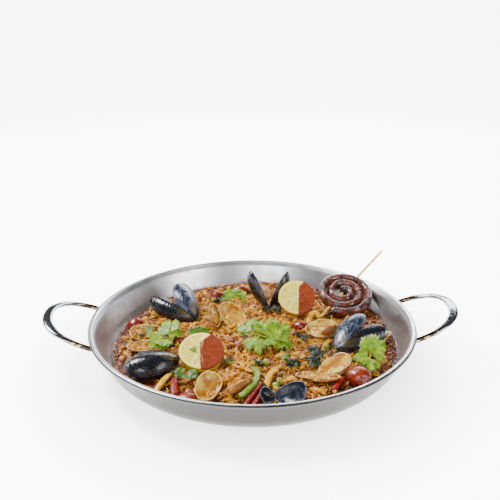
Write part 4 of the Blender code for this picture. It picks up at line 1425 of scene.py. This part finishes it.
def strip_rings(points, width, thickness, seed):
    """Sections of a soft ribbon that lies flat, its ends rounded."""
    path = smooth_path([place(*point) for point in points], STRIP_PARTS)
    last = len(path) - 1
    rings = []
    for index, middle in enumerate(path):
        ahead = (path[min(index + 1, last)] - path[max(index - 1, 0)]).normalized()
        matrix = stand(middle, ahead, (0, 0, 1))
        end = min(index, last - index) / 3
        taper = math.sqrt(1 - (1 - end) ** 2) if end < 1 else 1.0
        taper *= 1 + 0.06 * ripple((index * 0.2, seed, 0), 1.0, seed)
        ring = []
        for turn in circle(STRIP_SIDES):
            flat = eased(math.cos(turn), 0.7) * width / 2 * MM * taper
            thick = eased(math.sin(turn), 0.8) * thickness / 2 * MM * taper
            curl = 0.25 * MM * ripple((index * 0.3, turn, seed), 1.0)
            ring.append(matrix @ Vector((0, flat, thick + curl)))
        rings.append(ring)
    return rings


# Fried flesh is soft and has a thin film of oil: broad, mild highlights, a second shade where
# it is riper and a third where the pan has singed it.
def vegetable(name, fresh, ripe, singed):
    return food(name, gloss(0.36, specular=0.30, coat=0.12, coat_roughness=0.1),
                (2.5 * MM, 0.3, 0.7), 0.4 * MM, fresh, (ripe, 7 * MM, 0.35, 0.7), (singed, 5 * MM, 0.6, 0.75))


red_pepper = vegetable("red pepper", "#8c0d0b", "#6c0908", "#a8301a")
green_pepper = vegetable("green pepper", "#4c6e04", "#7c980c", "#384c0a")
yellow_pepper = vegetable("yellow pepper", "#cc9000", "#e0b000", "#a05e08")
squid = vegetable("stewed squid", "#ba7a00", "#d49c00", "#864804")
STRIP_FINISHES = (("pepper_red", red_pepper, "red_pepper"), ("pepper_green", green_pepper, "green_food"),
                  ("squid", squid, "yellow_food"), ("pepper_", yellow_pepper, "yellow_food"))

for name, (points, width, thickness) in STRIPS.items():
    finish, slot = next((made, own) for start, made, own in STRIP_FINISHES if name.startswith(start))
    build(name, [skin(strip_rings(points, width, thickness, len(name)))], finish, slot, name)

# %% Ham dice
DICE = {
    "ham_die_a": ((-26, -11, 26), (8, 7, 6), 20),
    "ham_die_b": ((-17, -23, 26), (8, 8, 6), 50),
}
DIE_SQUARENESS = 0.35                   # power that turns a ball into a soft cube
DIE_LEAN = 20

# Cured ham is dense and moist; the fibres, 2 mm apart, show as paler strands.
ham = food("ham", gloss(0.35, coat=0.3, coat_roughness=0.2),
           (2 * MM, 0.35, 0.7), 0.5 * MM, "#93452a", ("#b26a42", 2 * MM, 0.35, 0.7))
for name, (centre, sides, turn) in DICE.items():
    def squared(point, own_sides=sides, seed=centre[0]):
        dent = 1 + DENTS * ripple(point, 0.5, seed)
        return Vector([eased(part, DIE_SQUARENESS) * side / 2 * MM * dent
                       for part, side in zip(point, own_sides)])

    dress(name, ball_mesh(name, centre, turn, 4, squared, DIE_LEAN), ham, "ham", name)

# %% [markdown]
# ## What lies in the shells
#
# The clams are served open, with their meat, stock and grains of rice in them. Each
# filling is a low, lumpy lens inside its valve, with a few rounded pieces of meat on it.
# The same lumps, larger, make the small heap of squid and clam meat at the front.

# %% Fillings
# Shell, valve, where the lens lies along and across the valve, its two radii, its rise, in mm,
# and how pale it is.
FILLINGS = (
    ("clam_left", 0, 12, 5, 12, 14, 3.0, 0.1),
    ("clam_left_low", 0, 11, 6, 10, 15, 0.5, 0.0),
    ("clam_back_left", 0, 10, 2, 9, 14, 1.0, 0.3),
    ("clam_back_left", 1, 5, 3, 4, 8, 0.2, 0.3),
    ("clam_right_back", 0, 9, -2, 9, 14, 3.0, 0.7),
    ("clam_right_back", 1, 6, 0, 5, 14, 2.0, 0.2),
    ("clam_right_front", 0, 10, 0, 9, 19, 3.0, 0.3),
    ("clam_right_front", 1, 6, -2, 6, 12, 1.5, 0.9),
    ("clam_front", 0, 5, -7, 4, 5, 0.2, 0.1),
    ("clam_front", 1, 7, 0, 6, 15, 4.0, 0.0),
)
LENS_ROWS = 9
LENS_SIDES = 40


def lens_skin(matrix, along, across, radii, rise, depth, seed, paleness):
    """A lumpy lens whose upper face looks out of the valve, that is to local -Z."""
    rings = []
    for row in range(LENS_ROWS + 1):
        share = row / LENS_ROWS
        ring = []
        for turn in circle(LENS_SIDES):
            uneven = 1 + 0.15 * ripple(around(1, turn), 0.7, seed)
            x = along + radii[0] * share * math.cos(turn) * uneven
            y = across + radii[1] * share * math.sin(turn) * uneven
            lump = 1.3 * ripple((x, y, 0), 4.0, seed)
            z = 0.30 * depth * share - (rise + lump) * (1 - share ** 2)
            ring.append(matrix @ place(x, y, z))
        rings.append(ring)
    rings.append([matrix @ place(along, across, depth * 0.75)] * LENS_SIDES)
    return skin(rings, lambda row, point: paleness)


fill_skins = []
for number, (name, valve, along, across, wide, long, rise, paleness) in enumerate(FILLINGS):
    beak, margin, out, size = CLAMS[name][valve]
    matrix = valve_stand(beak, margin, out)
    fill_skins.append(lens_skin(matrix, along, across, (wide, long), rise, size[2], number, paleness))
fill_mesh = weld("fillings", fill_skins)
add_marks(fill_mesh, open=lambda point: 1.0)

# Stewed meat is soft and sits in orange stock: a mild sheen over lumps of 4 mm. The mark of a
# filling says how pale it is, and the tint varies scattered scraps.
stewed_meat, tree, shader, where = start_material(
    "stewed clam meat", gloss(0.38, specular=0.30, coat=0.12, coat_roughness=0.15))
tint = add_node(tree, "ShaderNodeAttribute", attribute_name="tint").outputs["Fac"]
pale = add_node(tree, "ShaderNodeAttribute", attribute_name="mark").outputs["Fac"]
soft = spots(tree, where, 4 * MM, 0.35, 0.7)
dark = spots(tree, where, 7 * MM, 0.52, 0.7)
colour = paint(tree, "#aa6200", (soft, "#d29000"), (pale, "#f4dc6c"), (dark, "#6e3604"),
               (add_node(tree, "ShaderNodeMath", {0: tint, 1: 0.5}, operation="MULTIPLY").outputs[0],
                "#d69c04"))
surface(tree, shader, soft, 0.9 * MM, Base_Color=colour)
dress("clam_fillings", fill_mesh.copy(), stewed_meat, "yellow_food")

# %% A heap of squid and clam meat
HEAP_CENTRE = (-27, -96)
HEAP_REACH = (17, 12)
HEAP_PIECES = 34
HEAP_LIFT = 1.5
HEAP_HEIGHT = 8.5
PIECE_SIDES = 12
PIECE_STATIONS = ((0, 0), (0.08, 0.75), (0.3, 1.0), (0.6, 0.85), (0.92, 0.8), (1, 0))
heap_skins = []
for _ in range(HEAP_PIECES):
    turn, share = chance.uniform(0, WHOLE_TURN), math.sqrt(chance.random())
    x = HEAP_CENTRE[0] + HEAP_REACH[0] * share * math.cos(turn)
    y = HEAP_CENTRE[1] + HEAP_REACH[1] * share * math.sin(turn)
    z = rice_top(x * MM, y * MM) / MM + HEAP_LIFT + HEAP_HEIGHT * (1 - share ** 2)
    heading = chance.uniform(0, WHOLE_TURN)
    ahead = around(1, heading, chance.uniform(-0.35, 0.35))
    matrix = stand(place(x, y, z), ahead, (chance.uniform(-0.5, 0.5), chance.uniform(-0.5, 0.5), 1))
    long, wide = chance.uniform(10, 17) * MM, chance.uniform(4.2, 7.5) * MM
    rings = spindle(long, wide, wide * 0.62, chance.uniform(1.5, 5) * MM, PIECE_STATIONS, PIECE_SIDES)
    heap_skins.append(skin(moved(matrix, rings)))
build("squid_heap", heap_skins, stewed_meat, "yellow_food")

# %% Squid and onion pieces on the rice
# Place, heading in degrees, length and width, in mm.
STRAY_PIECES = (
    (29, -47, 60, 17, 7), (52, -52, 75, 18, 7), (45, -44, 30, 13, 8), (71, 27, 80, 15, 8),
    (48, -70, 110, 15, 6), (22, -74, 20, 14, 6), (62, -86, 10, 16, 6), (-20, -70, -30, 18, 6),
    (-8, -78, -50, 15, 6), (-42, -84, 20, 13, 7), (8, 40, 15, 14, 6), (-12, 52, -20, 15, 6),
    (-20, 22, 40, 14, 8), (42, 26, -15, 15, 5), (84, -20, 60, 15, 6), (102, -52, 30, 14, 5),
    (-96, -66, 15, 13, 6), (-52, 22, 5, 14, 6), (-66, 32, 60, 13, 6), (-38, 40, -40, 14, 5),
    (34, -112, 5, 17, 5), (60, -118, -20, 15, 6), (96, -66, -30, 13, 5), (-100, 50, 35, 14, 6),
)
STRAY_LIFT = 1.6
STRAY_THICKNESS = 3.4 * MM
stray_skins = []
for x, y, heading, long, wide in STRAY_PIECES:
    ahead = around(1, math.radians(heading), chance.uniform(-0.15, 0.15))
    lift = rice_top(x * MM, y * MM) / MM + STRAY_LIFT
    matrix = stand(place(x, y, lift), ahead, (chance.uniform(-0.3, 0.3), chance.uniform(-0.3, 0.3), 1))
    rings = spindle(long * MM, wide * MM, STRAY_THICKNESS, chance.uniform(1.5, 5) * MM, PIECE_STATIONS,
                    PIECE_SIDES)
    stray_skins.append(skin(moved(matrix, rings)))
build("squid_pieces", stray_skins, squid, "yellow_food")

# %% [markdown]
# ## Herbs
#
# Flat parsley and celery leaves are fans: the veins start at the stalk, every vein ends
# in a tooth, and the teeth gather in three lobes. The outline follows that in polar form
# about the stalk. The blade is a third of a millimetre thick, waved and arched. Spinach
# that has cooked along is the same blade, much more crumpled and nearly black.

# %% Leaf shape
LEAF_ROWS = 6
LEAF_SIDES = 76
LEAF_SPREAD = 1.25                      # half of the fan's angle, in radians
LEAF_THICKNESS = 0.35
LEAF_HEART = Vector((0.36, 0.0))        # where the rings of the blade shrink to
WAVES = (5.0, 2.2)                      # widths of the coarse and the fine waves, in mm


def leaf_outline(lobes, teeth, width, seed):
    """Points of a leaflet of about unit length, its stalk at the origin."""
    points = []
    for step in range(LEAF_SIDES):
        side = -1 + 2 * step / (LEAF_SIDES - 1)
        lobe = abs(math.cos(math.pi * side * lobes / 2)) ** 0.5
        tooth = 1 - abs((side * teeth) % 1 * 2 - 1)
        reach = (0.58 + 0.28 * lobe + 0.11 * tooth) * (1 - 0.30 * side * side)
        reach *= 1 + 0.22 * ripple((side * 2, seed, 0), 1.0, seed)
        turn = LEAF_SPREAD * side
        points.append(Vector((reach * math.cos(turn), reach * math.sin(turn) * width)))
    return points


def leaf_skin(base, tip, up, width=1.0, lobes=3, teeth=6.5, wave=2.6, arch=0.25, seed=0.0):
    """A thin blade from its stalk to its tip, in mm; arch bends it down along its length."""
    base, tip = place(*base), place(*tip)
    matrix = stand(base, tip - base, up)
    length = (tip - base).length / MM
    outline = leaf_outline(lobes, teeth, width, seed)
    upper, lower = [], []
    for row in range(LEAF_ROWS + 1):
        share = row / LEAF_ROWS
        ring = []
        for point in outline:
            plan = (LEAF_HEART + (point - LEAF_HEART) * share) * length
            lift = wave * share * ripple((plan.x, plan.y, 0), WAVES[0], seed) \
                + 0.4 * wave * share * ripple((plan.x, plan.y, 0), WAVES[1], seed) \
                + arch * length * (0.25 - (plan.x / length - 0.5) ** 2) - 0.12 * arch * plan.y ** 2 / length
            ring.append((plan.x, plan.y, lift))
        upper.append([matrix @ place(*point) for point in ring])
        lower.append([matrix @ place(x, y, z - LEAF_THICKNESS) for x, y, z in ring])
    return skin(upper + lower[::-1])


VEINS = 4.5                             # swings of the vein pattern over the blade


def leaf_finish(name, body, pale, vein, veined):
    """A leaf's skin is thin and waxy: nearly matt, and paler along the veins that run from the stalk
    to the teeth. Noise patches of a paler green are painted light on the bends."""
    made, tree, shader, where = start_material(name, gloss(0.42, specular=0.35))
    round_leaf = add_node(tree, "ShaderNodeSeparateXYZ", {
        0: add_node(tree, "ShaderNodeUVMap").outputs[0]}).outputs[1]
    phase = add_node(tree, "ShaderNodeMath", {
        0: round_leaf, 1: WHOLE_TURN * VEINS, 2: -math.pi * VEINS}, operation="MULTIPLY_ADD").outputs[0]
    swing = add_node(tree, "ShaderNodeMath", {0: phase}, operation="COSINE").outputs[0]
    size = add_node(tree, "ShaderNodeMath", {0: swing}, operation="ABSOLUTE").outputs[0]
    veins = add_node(tree, "ShaderNodeMapRange", {
        "Value": size, "From Min": 0.30, "From Max": 0.05, "To Max": veined}).outputs["Result"]
    # painted light: paler patches stand in for the light on the blade's bends
    painted_light_patches = spots(tree, where, 7 * MM, 0.34, 0.68, 3.0)
    mixed = paint(tree, body, (painted_light_patches, pale), (veins, vein))
    surface(tree, shader, veins, 0.25 * MM, Base_Color=mixed)
    return made


parsley = leaf_finish("fresh parsley", "#447000", "#8ca60a", "#b2c43a", 0.35)
dark_leaf = leaf_finish("basil leaf", "#2f5208", "#4f7412", "#6d8f28", 0.4)
wilted = leaf_finish("wilted spinach", "#0e1708", "#23320e", "#2a3d16", 0.2)

print("leaf outline:", LEAF_SIDES, "points")

# %% Parsley and celery leaves
# Stalk, tip, way the upper face looks, then what differs from a plain leaflet.
CAMERA_SIDE = (-0.05, -0.55, 0.83)
SPRIGS = (
    ((13, -26, 34), (45, -9, 38), (0.05, -0.55, 0.83), {"width": 0.95}),
    ((12, -24, 34), (27, 5, 39), (0.10, -0.60, 0.80), {"width": 0.90}),
    ((20, -25, 33), (40, -24, 34), (0.0, -0.7, 0.7), {"width": 0.8}),
    ((-1, -13, 34), (0, 13, 41), (-0.30, -0.60, 0.74), {"width": 1.0, "arch": 0.45}),
    ((6, -16, 34), (8, 6, 39), (0.25, -0.60, 0.76), {"width": 0.7, "arch": 0.4}),
    ((-3, -9, 33), (-14, -3, 33), CAMERA_SIDE, {"width": 0.6}),
    ((-1, -16, 34), (-5, -43, 28), (-0.25, -0.35, 0.90), {"width": 0.50, "arch": 0.35}),
    ((4, -18, 34), (4, -53, 28), (0.20, -0.30, 0.93), {"width": 0.45, "arch": 0.30}),
    ((11, -25, 34), (25, -39, 33), (0.0, -0.5, 0.86), {"width": 0.6}),
    ((119, -76, 36), (128, -40, 47), (-0.05, -0.75, 0.66), {"width": 0.62, "wave": 1.6}),
    ((119, -75, 37), (135, -63, 39), (0.10, -0.70, 0.70), {"width": 0.8}),
    ((118, -76, 37), (101, -74, 35), (-0.15, -0.55, 0.82), {"width": 1.0}),
    ((117, -77, 36), (115, -96, 31), (0.10, -0.40, 0.90), {"width": 0.9}),
    ((118, -76, 37), (108, -92, 32), (-0.10, -0.45, 0.88), {"width": 0.8}),
    ((-89, -14, 36), (-98, 13, 41), (-0.15, -0.60, 0.78), {"width": 0.75, "wave": 1.8}),
    ((-90, -12, 36), (-78, 3, 38), (0.15, -0.60, 0.78), {"width": 0.8, "wave": 1.8}),
    ((-93, -17, 36), (-84, -14, 37), (0.1, -0.6, 0.8), {"width": 1.0}),
    ((-96, -22, 38), (-114, -38, 34), (-0.10, -0.60, 0.79), {"width": 0.85}),
    ((-97, -24, 38), (-98, -43, 35), (0.05, -0.55, 0.83), {"width": 0.9}),
    ((-12, 92, 31), (0, 93, 36), (0.1, -0.6, 0.79), {"width": 1.0}),
    ((-14, 92, 31), (-20, 104, 38), (-0.1, -0.65, 0.75), {"width": 0.9}),
    ((-16, 92, 31), (-32, 100, 35), (-0.1, -0.6, 0.79), {"width": 0.7}),
    ((-13, 91, 32), (-11, 103, 39), (0.05, -0.7, 0.71), {"width": 0.9}),
    ((-60, -64, 43.6), (-69, -62, 44.2), (0.0, -0.40, 0.92), {"width": 0.6}),
)
STALKS = (
    [(-7, -7, 33), (4, -16, 35), (16, -26, 36), (38, -30, 32)],
    [(4, -16, 35), (0, -28, 32), (-4, -40, 28)],
    [(6, -18, 35), (5, -33, 32), (4, -48, 28)],
    [(118, -76, 37), (121, -66, 39), (126, -50, 43)],
    [(112, -84, 32), (117, -77, 36.5), (119, -75, 38)],
    [(-87, -20, 33), (-90, -12, 36.5), (-95, 2, 39)],
    [(-90, -20, 34), (-96, -24, 38.3), (-104, -30, 37)],
    [(-26, 96, 28), (-16, 92, 32), (-8, 90, 31)],
)
STALK_WIDTH = 1.9
leaf_skins = [leaf_skin(base, tip, up, seed=number, **looks)
              for number, (base, tip, up, looks) in enumerate(SPRIGS)]
stalk_skins = [skin(strip_rings(points, STALK_WIDTH, 1.6, number)) for number, points in enumerate(STALKS)]
build("parsley_leaves", leaf_skins, parsley, "green_food")
build("parsley_stalks", stalk_skins, parsley, "green_food")

# %% Dark and wilted leaves
BASIL = (
    ((-75, -8, 31), (-46, 3, 33), (0.0, -0.60, 0.80), {"width": 0.42, "lobes": 1, "teeth": 6.5}),
    ((-72, -92, 31), (-84, -88, 33), (-0.2, -0.5, 0.84), {"width": 0.8, "wave": 2.2, "lobes": 1}),
    ((-72, -92, 31), (-58, -96, 33), (0.2, -0.5, 0.84), {"width": 0.7, "wave": 2.2, "lobes": 1}),
    ((-72, -91, 31), (-70, -101, 31), (0.1, -0.3, 0.94), {"width": 1.0, "wave": 2.0, "lobes": 1}),
    ((28, -58, 31), (36, -66, 32), (0.0, -0.4, 0.90), {"width": 0.7, "wave": 1.6}),
    ((-111, -8, 34), (-118, 9, 36), (0.0, -0.6, 0.80), {"width": 0.4, "lobes": 1}),
    ((100, -74, 30), (94, -70, 32), (0.0, -0.6, 0.80), {"width": 0.8}),
    ((-34, 96, 27), (-22, 99, 29), (0.0, -0.5, 0.85), {"width": 0.6, "lobes": 1}),
)
SPINACH_HEAPS = (                   # middle, reach and number of blades
    ((63, -50, 29), 10, 6), ((61, -62, 28), 10, 7), ((60, -72, 28), 9, 5), ((68, -55, 29), 7, 3),
    ((40, -72, 28), 9, 5), ((34, -63, 28), 6, 3), ((56, -15, 27), 7, 4), ((51, -3, 27), 6, 3),
    ((60, -4, 27), 5, 2), ((3.5, -67, 28), 6, 7), ((78, -52, 28), 5, 3), ((30, 58, 28), 8, 5),
    ((36, 70, 29), 9, 6), ((22, 62, 28), 7, 4), ((-88, -30, 29), 6, 4), ((-36, 92, 27), 7, 4),
    ((-26, -60, 28), 5, 3), ((46, 36, 27), 5, 2), ((-48, 66, 26), 6, 3), ((-70, 84, 26), 5, 3),
    ((9, -112, 27), 5, 3), ((96, 44, 26), 6, 3), ((34, -40, 28), 5, 3), ((-124, 2, 27), 5, 3),
)
basil_skins = [leaf_skin(base, tip, up, seed=number + 40, **looks)
               for number, (base, tip, up, looks) in enumerate(BASIL)]
spinach_skins = []
for middle, reach, blades in SPINACH_HEAPS:
    for blade in range(blades):
        turn = chance.uniform(0, WHOLE_TURN)
        start = Vector(middle) + Vector((chance.uniform(-2, 2), chance.uniform(-2, 2), chance.uniform(0, 2)))
        end = start + Vector((math.cos(turn), math.sin(turn), chance.uniform(-0.1, 0.4))) * reach
        up = (chance.uniform(-0.5, 0.5), chance.uniform(-0.8, 0.1), 0.8)
        spinach_skins.append(leaf_skin(start, end, up, 0.8, 3, 2.5, 3.2, 0.5, blade + middle[0]))
build("basil_leaves", basil_skins, dark_leaf, "green_food")
build("wilted_spinach", spinach_skins, wilted, "green_food")

# %% [markdown]
# ## Small things between the grains
#
# Slivers of squid and onion, scraps of tomato and meat, chopped herbs and toasted
# crumbs lie all over the rice, most of them half sunk. Each kind has one small shape
# that the scatter tree repeats with its own seed.

# %% Shapes of the small things
# Length, width, thickness and bend in mm, then stations and sides.
SMALL_SHAPES = {
    "sliver": ((13, 3.4, 1.8, 2.4), ((0, 0), (0.08, 0.7), (0.3, 1), (0.6, 0.85), (0.92, 0.8), (1, 0)), 7),
    "thread": ((15, 1.5, 1.1, 3.5), ((0, 0), (0.05, 0.8), (0.3, 1), (0.6, 0.9), (0.95, 0.8), (1, 0)), 6),
    "scrap": ((6.5, 5.5, 3.6, 0.8), ((0, 0), (0.12, 0.7), (0.45, 1.0), (0.8, 0.85), (1, 0)), 7),
    "fleck": ((2.6, 1.6, 0.5, 0.3), ((0, 0), (0.3, 1.0), (0.8, 0.7), (1, 0)), 5),
    "crumb": ((0.9, 0.6, 0.5, 0.0), ((0, 0), (0.4, 1.0), (1, 0)), 5),
}
sliver, thread, scrap, fleck, crumb = [
    weld(name, [skin(spindle(*[size * MM for size in sizes], stations, sides))])
    for name, (sizes, stations, sides) in SMALL_SHAPES.items()]

# Ground dried pepper: every grain is dull and has its own shade, from the tint that it carries.
paprika, tree, shader, _ = start_material("sweet paprika", gloss(0.9, specular=0.2))
tint = add_node(tree, "ShaderNodeAttribute", attribute_name="tint").outputs["Fac"]
surface(tree, shader, Base_Color=paint(tree, "#5e1804", (tint, "#b9501e")))

# %% Scatter the small things
THINGS_LIE = {"Smallest": 0.6, "Largest": 1.25, "Lowest": 0.2 * MM, "Highest": 2.2 * MM, "Tip": 0.45}
DUST_LIES = {"Smallest": 0.5, "Lowest": -0.1 * MM, "Highest": 0.25 * MM}
DUST = 2.2e6

# Name, ground, shape, finish, slot, mark, density, seed, and what differs in how they lie.
SMALL_THINGS = [
    ("squid_slivers", core_mesh, sliver, squid, "yellow_food", "open", 4200.0, 31,
     {"Smallest": 0.5, "Largest": 1.3}),
    ("onion_threads", core_mesh, thread, yellow_pepper, "yellow_food", "open", 2400.0, 32, {}),
    ("meat_scraps", core_mesh, scrap, ham, "ham", "open", 1700.0, 33, {}),
    ("tomato_scraps", core_mesh, scrap, tomato, "tomato", "open", 1100.0, 34, {"Smallest": 0.5}),
    ("orange_scraps", core_mesh, scrap, stewed_meat, "yellow_food", "open", 5200.0, 35,
     {"Smallest": 0.5, "Largest": 1.5}),
    ("herb_flecks", core_mesh, fleck, dark_leaf, "green_food", "open", 3500.0, 36, {"Highest": 2.6 * MM}),
    ("toasted_crumbs", core_mesh, fleck, toasted_rice, "rice", "open", 7000.0, 37, {"Highest": 2.4 * MM}),
    ("grains_in_shells", fill_mesh, grain, golden_rice, "rice", "open", 42000.0, 38,
     {"Smallest": 0.7, "Largest": 1.0, "Highest": 1.2 * MM}),
    ("squid_in_shells", fill_mesh, sliver, squid, "yellow_food", "open", 8000.0, 40,
     {"Smallest": 0.4, "Largest": 0.85}),
]
SMALL_THINGS += [(f"paprika_grains_{number + 1}", face, crumb, paprika, "lemon", "dust", DUST, 42 + number,
                  DUST_LIES) for number, face in enumerate(dusted_faces)]
SMALL_THINGS.append(("flecks_in_shells", fill_mesh, fleck, wilted, "green_food", "open", 9000.0, 39,
                     {"Highest": 1.5 * MM}))
for *thing, lie in SMALL_THINGS:
    strew(*thing, **{**THINGS_LIE, **lie})
